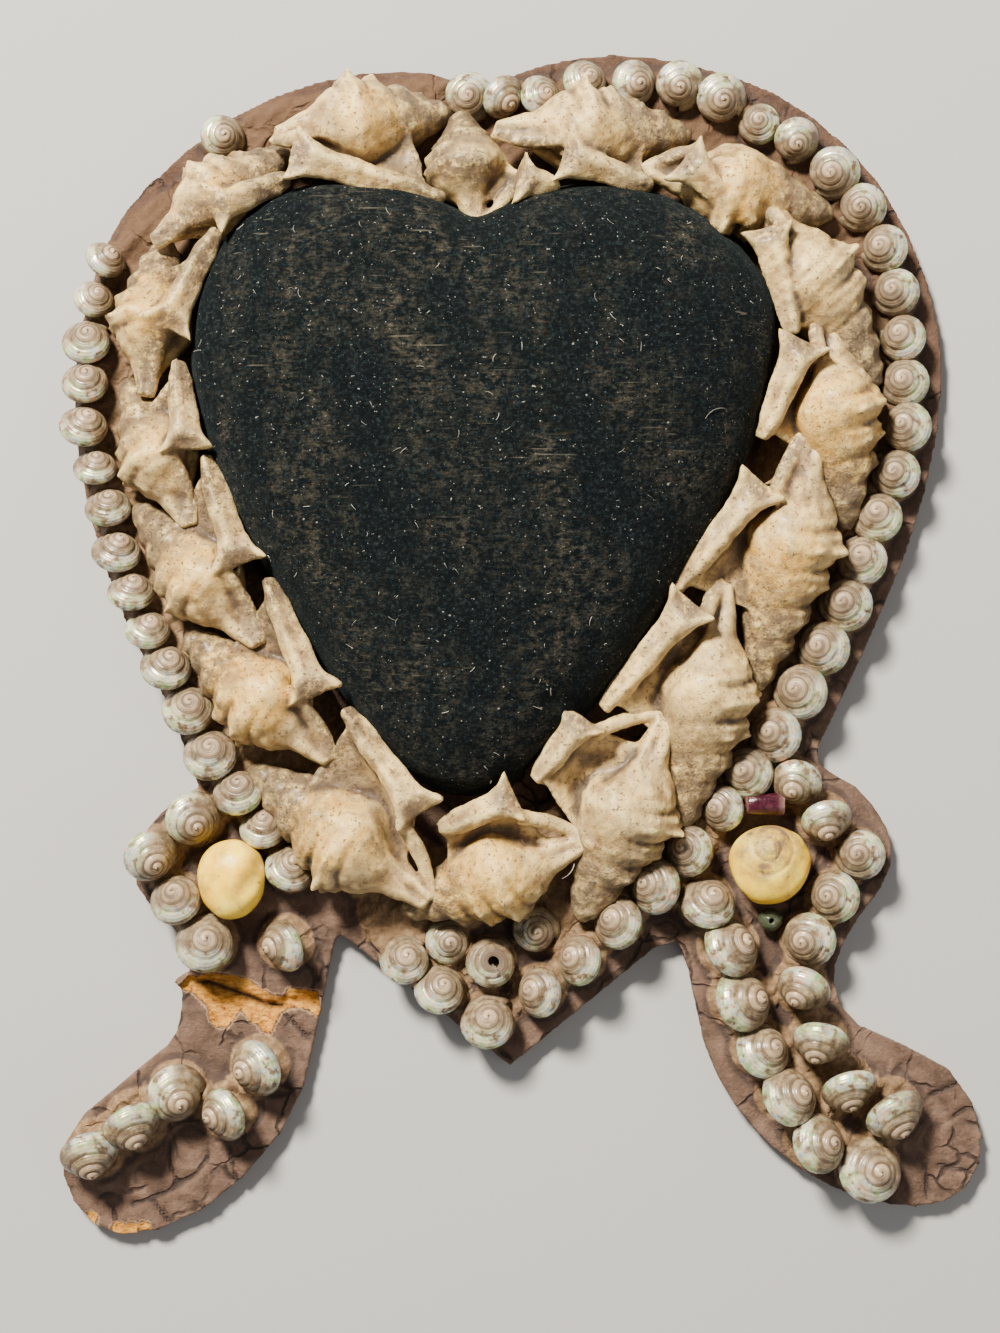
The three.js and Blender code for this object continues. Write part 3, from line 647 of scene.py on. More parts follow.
def settle(piece):
    """Applies the piece's modifiers to its mesh."""
    shaped = bpy.data.meshes.new_from_object(piece.evaluated_get(bpy.context.evaluated_depsgraph_get()))
    piece.modifiers.clear()
    piece.data = shaped


def points_of(mesh):
    points = np.empty(len(mesh.vertices) * 3)
    mesh.vertices.foreach_get("co", points)
    return points.reshape(-1, 3)


def normals_of(mesh):
    normals = np.empty(len(mesh.vertices) * 3)
    mesh.vertex_normals.foreach_get("vector", normals)
    return normals.reshape(-1, 3)


def neighbour_mean(mesh, values, rounds):
    """Each vertex's value averaged with its neighbours', as often as asked."""
    ends = np.empty(len(mesh.edges) * 2, dtype=np.int64)
    mesh.edges.foreach_get("vertices", ends)
    ends = ends.reshape(-1, 2)
    counts = np.bincount(ends.ravel(), minlength=len(values)).astype(float)
    for _ in range(rounds):
        total = np.zeros_like(values)
        for a, b in ((0, 1), (1, 0)):
            for axis in range(values.shape[1]):
                total[:, axis] += np.bincount(ends[:, a], values[ends[:, b], axis], len(values))
        values = 0.5 * values + 0.5 * total / counts[:, None]
    return values


def hollows_of(mesh, reach):
    """How deep each vertex lies in a hollow, above 0, or stands on a ridge, below 0, in millimetres."""
    points = points_of(mesh)
    smoothed = neighbour_mean(mesh, points, reach)
    return ((smoothed - points) * normals_of(mesh)).sum(axis=1) / MM


def set_points(mesh, points):
    mesh.vertices.foreach_set("co", points.ravel())
    mesh.update()


def pelican_finish():
    """Worn shell: cream ridges, partly rubbed wear and partly painted highlight; ochre glaze on the mouth,
    lilac-grey patches; painted brown shade in the broad valleys and on the low flanks.
    """
    finish, tree, shader, place = new_finish("pelicans_foot_shell")
    hollow = mark(tree, "hollow")
    cream = ramp(noise(place, 4.0, 8.0, 0.62), [
        (0.32, (0.09, 0.045, 0.015)), (0.43, (0.27, 0.148, 0.050)), (0.51, (0.58, 0.360, 0.120)),
        (0.60, (0.85, 0.59, 0.21))])
    grey = ramp(noise(place, 8.0, 4.0), [(0.47, 0), (0.60, 1)])
    worn = blend_colour(times(grey, 0.62), cream, (0.21, 0.150, 0.105))
    bright = blend_colour(times(mark(tree, "pale"), 0.28), worn, (0.87, 0.62, 0.24))
    warm = ramp(noise(place, 2.8, 3.0), [(0.3, (0.60, 0.30, 0.045)), (0.7, (0.86, 0.54, 0.13))])
    edge = ramp(plus(mark(tree, "glaze"), times(noise(place, 3.0, 4.0), 0.5)), [(0.58, 0), (0.78, 1)])
    glazed = blend_colour(times(edge, 0.9), bright, warm)
    # Ridges are painted pale cream: partly rubbed wear, partly painted highlight.
    ridge = ramp(times(hollow, -1.0), [(0.02, 0), (0.16, 1)])
    rubbed_and_highlit = blend_colour(times(ridge, 0.55), glazed, (0.95, 0.73, 0.31))
    rough_dust = ramp(noise(place, 2.4, 6.0, 0.7), [(0.40, 0.12), (0.54, 1)])
    dusted = times(times(mark(tree, "spire"), rough_dust), 0.85)
    spired = blend_colour(dusted, rubbed_and_highlit, (0.100, 0.062, 0.034))
    # Painted shade: the shell's broad hollows are darkened brown.
    deep_shade = ramp(mark(tree, "shaded_valley"), [(0.0, 0), (0.50, 1)])
    shaded = blend_colour(times(deep_shade, 0.88), spired, (0.060, 0.033, 0.015))
    # Small hollows take brown dirt. The low flanks near the board take painted shade, darker towards the
    # bottom, through the same grime group.
    sunk = ramp(hollow, [(0.02, 0), (0.16, 0.9)])
    low = ramp(mark(tree, "high"), [(0.25, 1), (0.95, 0)])
    shaded_low = sums("MAXIMUM", sunk, times(low, 0.9))
    dirtied_and_shaded, dirt = grimed(shaded, place, shaded_low, 0.80, (0.058, 0.034, 0.017))
    stump = times(mark(tree, "stump"), ramp(noise(place, 1.2, 4.0, 0.7), [(0.38, 0), (0.50, 1)]))
    ended = blend_colour(times(stump, 0.85), dirtied_and_shaded, (0.11, 0.070, 0.042))
    mottle = ramp(noise(place, 1.7, 8.0, 0.78), [(0.52, 0), (0.62, 1)])
    mottled = blend_colour(times(mottle, 0.58), ended, (0.235, 0.140, 0.068))
    pits = ramp(noise(place, 0.8, 4.0, 0.75), [(0.34, 1), (0.41, 0)])
    colour = blend_colour(times(pits, 0.8), mottled, (0.085, 0.052, 0.030))
    smoothness = blend_colour(edge, (0.40, 0.40, 0.40), (0.24, 0.24, 0.24))
    relief = sums("SUBTRACT", noise(place, 1.0, 8.0, 0.75), times(pits, 0.6))
    rough_here = plus(times(dusted, 0.9), 0.65)
    fill_in(shader, {"Base Color": colour, "Roughness": sums("MULTIPLY_ADD", dirt, 0.35, smoothness),
                     "Coat Weight": 0.18, "Coat Roughness": 0.30,
                     "Normal": bump(times(relief, rough_here), 0.9, 0.55)})
    return finish


chalky = pelican_finish()
for number, shell in enumerate(WREATH, 1):
    name = "pelicans_foot_%02d" % number
    parts = [spindle_rings(shell, number), strap_rings(shell), web_rings(shell), rim_rings(shell)]
    piece = merged_skin(name + "_worn", [lofted(rings) for rings in parts], SHELL_GRAIN)
    mesh = piece.data
    points = neighbour_mean(mesh, points_of(mesh), 3)
    uneven = 0.17 * ripples(points, 6.0 * MM, number) + 0.055 * ripples(points, 2.2 * MM, number + 40)
    points = points + normals_of(mesh) * (uneven * MM)[:, None]
    points[:, 2] = np.maximum(points[:, 2], BOARD_TOP)
    set_points(mesh, points)
    set_mark(mesh, "hollow", hollows_of(mesh, 14))
    # The broad hollows, kept for the painted shade in them.
    set_mark(mesh, "shaded_valley", hollows_of(mesh, 70))
    tip, apex = np.array(shell["tip"]) * MM, np.array(shell["apex"]) * MM
    mouth = tip * 0.45 + apex * 0.55
    span = np.linalg.norm(tip - apex)
    along = (points[:, :2] - apex) @ (tip - apex) / span ** 2
    set_mark(mesh, "spire", np.clip((0.50 - along) / 0.25, 0, 1))
    near = np.exp(-(np.linalg.norm(points[:, :2] - mouth, axis=1) / (0.26 * span)) ** 2)
    high = np.clip((points[:, 2] - BOARD_TOP) / (9 * MM), 0, 1)
    set_mark(mesh, "glaze", near * high * shell["ochre"])
    set_mark(mesh, "pale", np.full(len(points), shell["pale"]) * high)
    set_mark(mesh, "high", high)
    finger, end = np.array(shell["finger"]) * MM, np.array(shell["end"]) * MM
    strap_way = (end - finger) / np.linalg.norm(end - finger)
    from_fan = (points[:, :2] - finger) @ strap_way + FAN_REACH * MM
    off_axis = (points[:, :2] - finger) @ np.array([-strap_way[1], strap_way[0]])
    broken = np.clip(2.9 - from_fan / (1.6 * MM), 0, 1) * np.exp(-(off_axis / (3.0 * MM)) ** 4)
    set_mark(mesh, "stump", broken * (points[:, 2] > 13 * MM))
    dress(mesh, chalky)
    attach(piece, "root")
    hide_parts(name)


# Yellow periwinkles: two smooth, glossy round shells at the heads of the legs, speckled with small dark
# pits. The left one lies with its spire turned under; the right one shows a low worn spire at its upper
# left.
PHOTO_MIDDLE_X, PHOTO_MIDDLE_Y = 500, 666.5
MM_A_PIXEL = 0.18
WORN_SPIRE = (764, 843)


def from_photo(x, y):
    """Where a point of the photograph lies on the board, in metres."""
    across = (x - PHOTO_MIDDLE_X) * MM_A_PIXEL * MM
    up = (PHOTO_MIDDLE_Y - y) * MM_A_PIXEL * MM
    return np.array([across + EYE_X, up + EYE_Y])


def periwinkle_finish():
    finish, tree, shader, place = new_finish("periwinkle_shell")
    gold = ramp(noise(place, 6.0, 3.0), [
        (0.30, (0.76, 0.40, 0.020)), (0.50, (0.97, 0.64, 0.040)), (0.70, (0.99, 0.79, 0.14))])
    specks = ramp(noise(place, 1.1, 3.0, 0.7), [(0.30, 1), (0.36, 0)])
    old, dirt = grimed(gold, place, mark(tree, "seam"), 0.9, (0.17, 0.10, 0.05))
    fill_in(shader, {"Base Color": blend_colour(times(specks, 0.8), old, (0.10, 0.05, 0.02)),
                     "Roughness": sums("MULTIPLY_ADD", dirt, 0.35, 0.26), "Specular IOR Level": 0.28,
                     "Normal": bump(noise(place, 1.6, 4.0), 0.25, 0.2)})
    return finish


def smooth_egg(middle, reach, seed):
    """A closed egg of rounded cross-section, with one end a little blunter, and slightly uneven."""
    points = []
    rows, sides = 56, 80
    for i in range(rows + 1):
        fall = math.pi * i / rows
        for j in range(sides):
            angle = 2 * math.pi * j / sides
            blunt = 1 + 0.07 * math.sin(angle)
            points.append((math.sin(fall) * math.cos(angle) * blunt, math.sin(fall) * math.sin(angle),
                           math.cos(fall)))
    points = np.array(points) * np.array(reach) + np.array(middle)
    return points + 0.2 * MM * ripples(points, 6 * MM, seed)[:, None], tube_faces(rows, sides, rows + 1)


smooth_yellow = periwinkle_finish()
left_low, left_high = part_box("yellow_periwinkle_left")
left_middle = [(left_low[i] + left_high[i]) / 2 for i in range(3)]
left_reach = [(left_high[i] - left_low[i]) / 2 * (0.97, 1.04, 0.97)[i] for i in range(3)]
egg_points, egg_faces = smooth_egg(left_middle, left_reach, 5)
right_low, right_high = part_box("yellow_periwinkle_right")
right_middle = [(right_low[i] + right_high[i]) / 2 for i in range(3)]
right_reach = [(right_high[i] - right_low[i]) / 2 * 0.98 for i in range(3)]
right_points, right_faces = smooth_egg(right_middle, right_reach, 9)
spire = from_photo(*WORN_SPIRE)
away = np.linalg.norm(right_points[:, :2] - spire, axis=1) / MM
turned = np.arctan2(right_points[:, 1] - spire[1], right_points[:, 0] - spire[0])
part = (np.log(np.maximum(away, 0.05) / 0.5) / math.log(2.0) + turned / (2 * math.pi)) % 1.0
groove = np.exp(-(np.minimum(part, 1 - part) / 0.10) ** 2) * np.clip((6.5 - away) / 2.5, 0, 1)
above = right_points[:, 2] > right_middle[2]
right_points[:, 2] += np.where(above, 0.5 * np.exp(-(away / 1.8) ** 2) - 0.32 * groove, 0) * MM
brown_quarter = np.clip(1.45 - away / 5.4, 0, 0.72) * above
right_seam = np.maximum(groove * above, brown_quarter)
for side, shape, faces, seam in (("left", egg_points, egg_faces, np.zeros(len(egg_points))),
                                 ("right", right_points, right_faces, right_seam)):
    winkle = make_piece("yellow_periwinkle_" + side + "_gloss", shape, faces, {"seam": seam}, smooth_yellow)
    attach(winkle, "root")
    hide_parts("yellow_periwinkle_" + side)


# Glass beads: one short plum-red cylinder lying beside the right periwinkle, and one small dull green ball.
# Both are old moulded glass with a thread hole, pitted and half sunk in the glue.
def bead_finish(name, dark, light, pale_end):
    finish, tree, shader, place = new_finish(name)
    grains = ramp(noise(place, 0.8, 4.0, 0.7), [(0.34, dark), (0.62, light)])
    ended = blend_colour(mark(tree, "face"), grains, pale_end)
    # Inside the thread hole the glass is painted dark: painted shade.
    colour, dirt = grimed(ended, place, mark(tree, "hole"), 0.6, (0.06, 0.035, 0.03))
    fill_in(shader, {"Base Color": colour, "Roughness": sums("MULTIPLY_ADD", dirt, 0.4, 0.22),
                     "Normal": bump(noise(place, 0.6, 4.0), 0.5, 0.15)})
    return finish


def bead(name, profile, way, finish):
    """A bead turned from a profile of shares of its half size, set where its solid is, holed along way."""
    low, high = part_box(name)
    middle = Vector([(low[i] + high[i]) / 2 for i in range(3)])
    reach = Vector([(high[i] - low[i]) / 2 for i in range(3)])
    sides = 36
    points = []
    face = []
    hole = []
    for along, out, end, dark in profile:
        for j in range(sides):
            angle = 2 * math.pi * j / sides
            ring = (math.cos(angle) * out, math.sin(angle) * out)
            spot = Vector((along, *ring)) if way == "x" else Vector((*ring, along))
            points.append(middle + Vector([spot[i] * reach[i] for i in range(3)]))
            face.append(end)
            hole.append(dark)
    faces = tube_faces(len(profile), sides, len(profile))
    points = np.array([tuple(p) for p in points])
    points = points + 0.08 * MM * ripples(points, 1.6 * MM, 3)[:, None]
    made = make_piece(name + "_glass", points, faces, {"face": face, "hole": hole}, finish)
    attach(made, "root")
    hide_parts(name)


tube = [(-0.96, 0.80, 0.2, 0), (-0.99, 0.55, 0.2, 0), (-0.90, 0.28, 0, 1), (0.82, 0.28, 0, 1),
        (0.97, 0.36, 0.9, 0.2), (1.0, 0.60, 1, 0), (0.97, 0.84, 0.9, 0), (0.88, 0.97, 0.2, 0),
        (0.6, 1.0, 0, 0), (0.1, 0.97, 0, 0), (-0.4, 0.99, 0, 0), (-0.85, 0.95, 0, 0)]
ball = [(math.cos(math.radians(a)), math.sin(math.radians(a)), 0, 0) for a in range(14, 167, 8)]
ball += [(-0.80, 0.18, 0, 1), (0.80, 0.18, 0, 1)]
bead("red_bead", tube, "x", bead_finish("glass_bead_red", (0.014, 0.002, 0.005), (0.050, 0.004, 0.014),
                                        (0.66, 0.34, 0.28)))
bead("green_bead", ball, "z", bead_finish("glass_bead_green", (0.018, 0.028, 0.014), (0.055, 0.078, 0.040),
                                          (0.055, 0.078, 0.040)))


# Backing board: thick millboard cut to a heart with two curled legs, covered in brown leather that has
# shrunk, cracked, and kept the prints of lost shells. It has split across the left leg, where the fibrous
# core shows.
LEATHER_GRAIN = 0.57 * MM
TEAR_OUTLINE = [(176, 988), (183, 983), (189, 975), (196, 978), (212, 973), (231, 976), (249, 981),
                (262, 990), (274, 996), (283, 996), (290, 989), (317, 992), (321, 1017), (313, 1012),
                (302, 1007), (290, 1008), (280, 1012), (276, 1022), (271, 1033), (262, 1030), (257, 1024),
                (249, 1019), (240, 1008), (234, 1018), (228, 1026), (217, 1027), (210, 1019),
                (208, 1006), (201, 1001), (192, 992)]
SPLIT = [(196, 984), (208, 983), (230, 990), (249, 998), (265, 1005), (281, 1007)]
LOST_PATCHES = [(90, 1219, 7), (118, 1230, 7), (131, 1230, 7), (144, 1228, 6)]
CRACKS = [[(168, 1144), (170, 1165), (176, 1183)], [(228, 1147), (237, 1181)],
          [(131, 1205), (164, 1194), (196, 1174), (210, 1155)], [(151, 1199), (169, 1222)],
          [(112, 1208), (117, 1226)],
          [(283, 1012), (308, 1038)], [(928, 1096), (958, 1084)], [(952, 1119), (966, 1108), (978, 1110)],
          [(926, 1167), (927, 1199)], [(936, 1164), (972, 1173)], [(500, 1052), (512, 1060)],
          [(150, 166), (166, 188)]]
SHELL_PRINTS = [(151, 1178, 21), (190, 1146, 23), (290, 1067, 22), (180, 1214, 21), (220, 1184, 20),
                (110, 1206, 18), (250, 1110, 18), (939, 1110, 15), (941, 1141, 22), (966, 1137, 20),
                (943, 1182, 20), (911, 1078, 22), (298, 115, 14), (272, 121, 12), (238, 128, 12),
                (205, 148, 13), (168, 196, 14), (330, 108, 12)]
TORN_SOFTLY = 2.4 * MM


def distance_to_line(points, line):
    """The least distance in the plane from each point to a line of several stretches."""
    best = np.full(len(points), 1.0)
    for a, b in zip(line[:-1], line[1:]):
        run = b - a
        share = np.clip(((points[:, :2] - a) @ run) / (run @ run), 0, 1)
        best = np.minimum(best, np.linalg.norm(points[:, :2] - a - share[:, None] * run, axis=1))
    return best


def inside_outline(points, outline):
    """Whether each point lies inside a closed outline in the plane."""
    inside = np.zeros(len(points), dtype=bool)
    for a, b in zip(outline, np.roll(outline, -1, axis=0)):
        crosses = (a[1] > points[:, 1]) != (b[1] > points[:, 1])
        run = (b[1] - a[1]) if b[1] != a[1] else 1e-12
        inside ^= crosses & (points[:, 0] < (b[0] - a[0]) * (points[:, 1] - a[1]) / run + a[0])
    return inside


def remeshed_copy(name, source, grain, shrink=1.0):
    """A new object with the solid's shape in an even mesh."""
    shaped = bmesh.new()
    shaped.from_mesh(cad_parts[source].data)
    bmesh.ops.remove_doubles(shaped, verts=shaped.verts, dist=1e-6)
    mesh = bpy.data.meshes.new(name)
    shaped.to_mesh(mesh)
    shaped.free()
    points = points_of(mesh)
    middle = (points.min(axis=0) + points.max(axis=0)) / 2
    set_points(mesh, (points - middle) * shrink + middle)
    copy = bpy.data.objects.new(name, mesh)
    bpy.context.collection.objects.link(copy)
    skin = copy.modifiers.new("skin", "REMESH")
    skin.mode = "VOXEL"
    skin.voxel_size = grain
    settle(copy)
    return copy


def leather_finish():
    """Old mauve-brown leather, paler at the rim and painted darker and redder towards the top as shade;
    under it a tan fibrous core; over it brown glue.
    """
    finish, tree, shader, place = new_finish("board_leather")
    hide = ramp(noise(place, 7.0, 6.0, 0.62), [
        (0.30, (0.058, 0.032, 0.020)), (0.46, (0.115, 0.066, 0.044)), (0.58, (0.160, 0.095, 0.064)),
        (0.72, (0.225, 0.138, 0.094))])
    # Painted shade: the leather and the glue on it turn darker and redder towards the top of the board.
    upper = ramp(times(node(place, "ShaderNodeSeparateXYZ").outputs["Y"], 8.0), [(0.10, 0), (0.60, 1)])
    shaded_upper_hide = blend_colour(times(upper, 0.80), hide, (0.080, 0.036, 0.018))
    fleck = ramp(noise(place, 0.9, 5.0, 0.7), [(0.55, 0), (0.68, 1)])
    flecked = blend_colour(times(fleck, 0.40), shaded_upper_hide, (0.25, 0.150, 0.098))
    rim = ramp(plus(mark(tree, "rim"), times(noise(place, 3.0, 5.0), 0.5)), [(1.02, 0), (1.26, 1)])
    rimmed = blend_colour(times(rim, 0.40), flecked, (0.190, 0.102, 0.060))
    cut = ramp(plus(mark(tree, "side"), times(noise(place, 2.0, 5.0), 0.6)), [(0.95, 0), (1.15, 1)])
    edged = blend_colour(times(cut, 0.7), rimmed, (0.21, 0.130, 0.085))
    bent = node(place, "ShaderNodeTexNoise")
    fill_in(bent, {"Scale": 1 / (6 * MM)})
    flat_place = node(place, "ShaderNodeVectorMath", ((1, 1, 0),), operation="MULTIPLY").outputs[0]
    wander = node(bent.outputs["Color"], "ShaderNodeVectorMath", ((0.006, 0.006, 0.006), flat_place),
                  operation="MULTIPLY_ADD")
    crazed = node(wander.outputs[0], "ShaderNodeTexVoronoi", feature="DISTANCE_TO_EDGE")
    fill_in(crazed, {"Scale": 1 / (9.5 * MM), "Randomness": 0.95})
    open_here = ramp(noise(place, 10.0, 2.0), [(0.44, 0), (0.54, 1)])
    line = ramp(crazed.outputs["Distance"], [(0.0, 1), (0.022, 0.75), (0.045, 0)])
    drawn = ramp(plus(times(noise(place, 1.5, 4.0), 0.3), mark(tree, "crack")), [(0.84, 0), (0.93, 1)])
    crack = sums("MAXIMUM", times(line, open_here), drawn)
    cracked = blend_colour(times(crack, 0.85), edged, (0.016, 0.009, 0.007))
    sunk = ramp(mark(tree, "hollow"), [(0.02, 0), (0.16, 1)])
    grimy = grimed(cracked, place, sunk, 0.7, (0.045, 0.028, 0.022))[0]
    glue = ramp(plus(mark(tree, "glue"), times(noise(place, 2.2, 5.0, 0.65), 0.8)), [(0.62, 0), (0.85, 1)])
    crust = ramp(noise(place, 1.4, 5.0, 0.7), [
        (0.32, (0.12, 0.069, 0.033)), (0.52, (0.225, 0.134, 0.067)), (0.72, (0.38, 0.25, 0.135))])
    # The glue's crust takes the same painted shade towards the top.
    shaded_upper_crust = blend_colour(times(upper, 0.85), crust, (0.080, 0.038, 0.018))
    glued = blend_colour(glue, grimy, shaded_upper_crust)
    core_fibres = noise(place, 0.8, 8.0, 0.78, (0.45, 1, 1))
    core = ramp(core_fibres, [
        (0.34, (0.22, 0.080, 0.012)), (0.48, (0.64, 0.265, 0.035)), (0.64, (0.93, 0.49, 0.10))])
    torn = ramp(plus(mark(tree, "tear"), times(noise(place, 1.5, 6.0, 0.7), 0.8)), [(0.84, 0), (0.90, 1)])
    fringe = ramp(plus(mark(tree, "tear"), times(noise(place, 1.1, 6.0, 0.7), 0.8)),
                  [(0.66, 0), (0.74, 1), (0.88, 0)])
    bare = blend_colour(torn, glued, core)
    frayed = blend_colour(times(fringe, 0.45), bare, (0.60, 0.36, 0.19))
    colour = blend_colour(mark(tree, "split"), frayed, (0.022, 0.010, 0.007))
    grain = plus(noise(place, 0.7, 8.0, 0.75), times(noise(place, 3.0, 3.0), 0.8))
    grain = sums("SUBTRACT", grain, times(crack, 0.9))
    grain = plus(grain, times(times(core_fibres, torn), 2.2))
    fill_in(shader, {"Base Color": colour, "Roughness": sums("MULTIPLY_ADD", torn, 0.25, 0.62),
                     "Specular IOR Level": 0.30, "Normal": bump(grain, 1.0, 0.45)})
    return finish


board = remeshed_copy("backing_board_leather", "backing_board", LEATHER_GRAIN)
mesh = board.data
shaped = bmesh.new()
shaped.from_mesh(mesh)
under = [face for face in shaped.faces if face.calc_center_median().z < 0.25 * MM and face.normal.z < -0.9]
bmesh.ops.delete(shaped, geom=under, context="FACES")
open_edges = [edge for edge in shaped.edges if edge.is_boundary]
bmesh.ops.triangle_fill(shaped, use_beauty=True, edges=open_edges, normal=(0, 0, -1))
shaped.to_mesh(mesh)
shaped.free()
points = points_of(mesh)
normals = normals_of(mesh)
side = np.clip(1 - np.abs(normals[:, 2]) * 1.3, 0, 1)
tree_of_edge = kdtree.KDTree(int((side > 0.6).sum()))
for i in np.flatnonzero(side > 0.6):
    tree_of_edge.insert((points[i, 0], points[i, 1], 0), int(i))
tree_of_edge.balance()
edge_distance = np.array([tree_of_edge.find((p[0], p[1], 0))[2] for p in points])
on_top = (points[:, 2] > 2.0 * MM) & (normals[:, 2] > 0.3)
tear_line = np.array([from_photo(*p) for p in TEAR_OUTLINE])
tear_depth = distance_to_line(points, np.vstack([tear_line, tear_line[:1]]))
tear = 0.5 + np.where(inside_outline(points, tear_line), 1, -1) * np.clip(tear_depth / TORN_SOFTLY, 0, 0.5)
for x, y, radius in LOST_PATCHES:
    away = np.linalg.norm(points[:, :2] - from_photo(x, y), axis=1)
    tear = np.maximum(tear, np.clip(0.5 + (radius * MM_A_PIXEL * MM - away) / TORN_SOFTLY, 0, 1))
split_line = np.array([from_photo(*p) for p in SPLIT])
split = np.exp(-(distance_to_line(points, split_line) / (0.55 * MM)) ** 2)
cracks = np.zeros(len(points))
near_crack = np.zeros(len(points))
for line in CRACKS:
    away = distance_to_line(points, np.array([from_photo(*p) for p in line]))
    cracks = np.maximum(cracks, np.exp(-(away / (0.7 * MM)) ** 2))
    near_crack = np.maximum(near_crack, 1 - away / (1.8 * MM))
cracks = neighbour_mean(mesh, cracks[:, None], 1)[:, 0]
near_crack = neighbour_mean(mesh, near_crack[:, None], 3)[:, 0]
from_shells = []
for row in SHELL_ROWS.values():
    for x, y, share, _, _ in row:
        away = np.linalg.norm(points[:, :2] - np.array([x, y]) * MM, axis=1)
        from_shells.append(away / (0.5 * TOP_SHELL_WIDTH * share))
nearest, second = np.partition(np.array(from_shells), 1, axis=0)[:2]
glue = np.clip((1.16 - nearest) / 0.28, 0, 1)
heap = np.clip((1.32 - second) / 0.32, 0, 1) * (nearest < 1.25)
for shell in WREATH:
    line = np.array([shell["tip"], shell["apex"]]) * MM
    glue = np.maximum(glue, np.clip((9.0 * MM - distance_to_line(points, line)) / (3 * MM), 0, 1))
prints = np.zeros(len(points))
for x, y, size in SHELL_PRINTS:
    radius = size * MM_A_PIXEL * MM
    away = np.linalg.norm(points[:, :2] - from_photo(x, y), axis=1)
    dish = -0.22 * np.clip((radius - away) / (0.8 * MM), 0, 1)
    ring = 0.20 * np.exp(-((away - radius) / (0.45 * MM)) ** 2)
    prints = np.where(away < radius + 1.2 * MM, dish + ring, prints)
uneven = 0.16 * ripples(points, 11 * MM, 7) + 0.10 * ripples(points, 3.6 * MM, 8)
lumps = np.maximum(glue, heap) * (1.35 + 0.60 * ripples(points, 3.0 * MM, 9)) + 1.5 * heap
inland = np.clip(edge_distance / (1.6 * MM), 0, 1)
lift = uneven + prints * (1 - glue) - 0.55 * cracks + np.maximum(lumps, 0) * inland - 0.9 * split
lift -= 0.55 * np.clip((tear - 0.42) / 0.2, 0, 1)
lift += 0.24 * ripples(points, 1.9 * MM, 10) * (tear > 0.5)
moved = points.copy()
moved[:, 2] = np.where(on_top, points[:, 2] + lift * MM, points[:, 2])
frayed = side * 0.22 * ripples(points, 2.6 * MM, 12) * MM
moved[:, :2] -= normals[:, :2] * np.abs(frayed)[:, None]
moved[:, 2] = np.maximum(moved[:, 2], 0)
set_points(mesh, moved)
for name, values in (("hollow", hollows_of(mesh, 8)), ("rim", np.exp(-(edge_distance / (2.2 * MM)) ** 2)),
                     ("side", side), ("glue", np.maximum(glue, heap) * on_top), ("tear", tear),
                     ("split", split * on_top), ("crack", near_crack)):
    set_mark(mesh, name, values)
dress(mesh, leather_finish())
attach(board, "root")
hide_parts("backing_board")


# Heart cushion: blue-black cotton velvet stretched over a hard sawdust filling and drawn under at its edge.
# The pile has worn through to brown threads in small patches along the weave, and holds white dust.
VELVET_GRAIN = 1.9 * MM
HELD_BELOW = 6.0 * MM
SETTLING_FRAMES = 20
FULLEST = 2.2 * MM
DRAWN_OVER = 1.0 * MM
CREASE = [(372, 702), (470, 697), (572, 703)]


def velvet_finish():
    finish, tree, shader, place = new_finish("velvet")
    pile = ramp(noise(place, 0.7, 5.0, 0.7), [
        (0.36, (0.0004, 0.0010, 0.0014)), (0.52, (0.0014, 0.0032, 0.0040)), (0.70, (0.013, 0.019, 0.020))])
    bands = noise(place, 9.0, 3.0, 0.6, (1.0, 0.22, 1.0))
    patches = times(noise(place, 14.0, 2.0), 0.4)
    areas = ramp(plus(times(bands, 0.6), patches), [(0.44, 0.05), (0.60, 1)])
    weft = sums("MULTIPLY_ADD", noise(place, 1.9, 5.0, 0.68, (0.95, 1.0, 1.0)), 0.65,
                times(noise(place, 0.45, 2.0, 0.5, (0.30, 1.0, 1.0)), 0.35))
    bare = ramp(weft, [(0.46, 0), (0.66, 1)])
    threads = ramp(noise(place, 0.5, 3.0, 0.7), [
        (0.35, (0.012, 0.012, 0.010)), (0.65, (0.088, 0.074, 0.051))])
    worn = blend_colour(times(times(bare, areas), 0.78), pile, threads)
    scored = ramp(noise(place, 0.42, 1.0, 0.4, (0.035, 1.0, 0.3)), [(0.69, 0), (0.75, 1)])
    scored_here = ramp(noise(place, 15.0, 2.0), [(0.50, 0), (0.58, 1)])
    worn = blend_colour(times(times(scored, scored_here), 0.4), worn, (0.13, 0.115, 0.085))
    dust = ramp(noise(place, 0.55, 2.0, 0.5), [(0.70, 0), (0.76, 1)])
    nap = plus(noise(place, 0.5, 4.0, 0.7), times(weft, -0.6))
    fill_in(shader, {"Base Color": blend_colour(times(dust, 0.55), worn, (0.42, 0.40, 0.36)),
                     "Roughness": 0.93, "Sheen Weight": 0.035, "Sheen Roughness": 0.45,
                     "Sheen Tint": (0.35, 0.50, 0.55), "Specular IOR Level": 0.09,
                     "Normal": bump(nap, 0.9, 0.35)})
    return finish


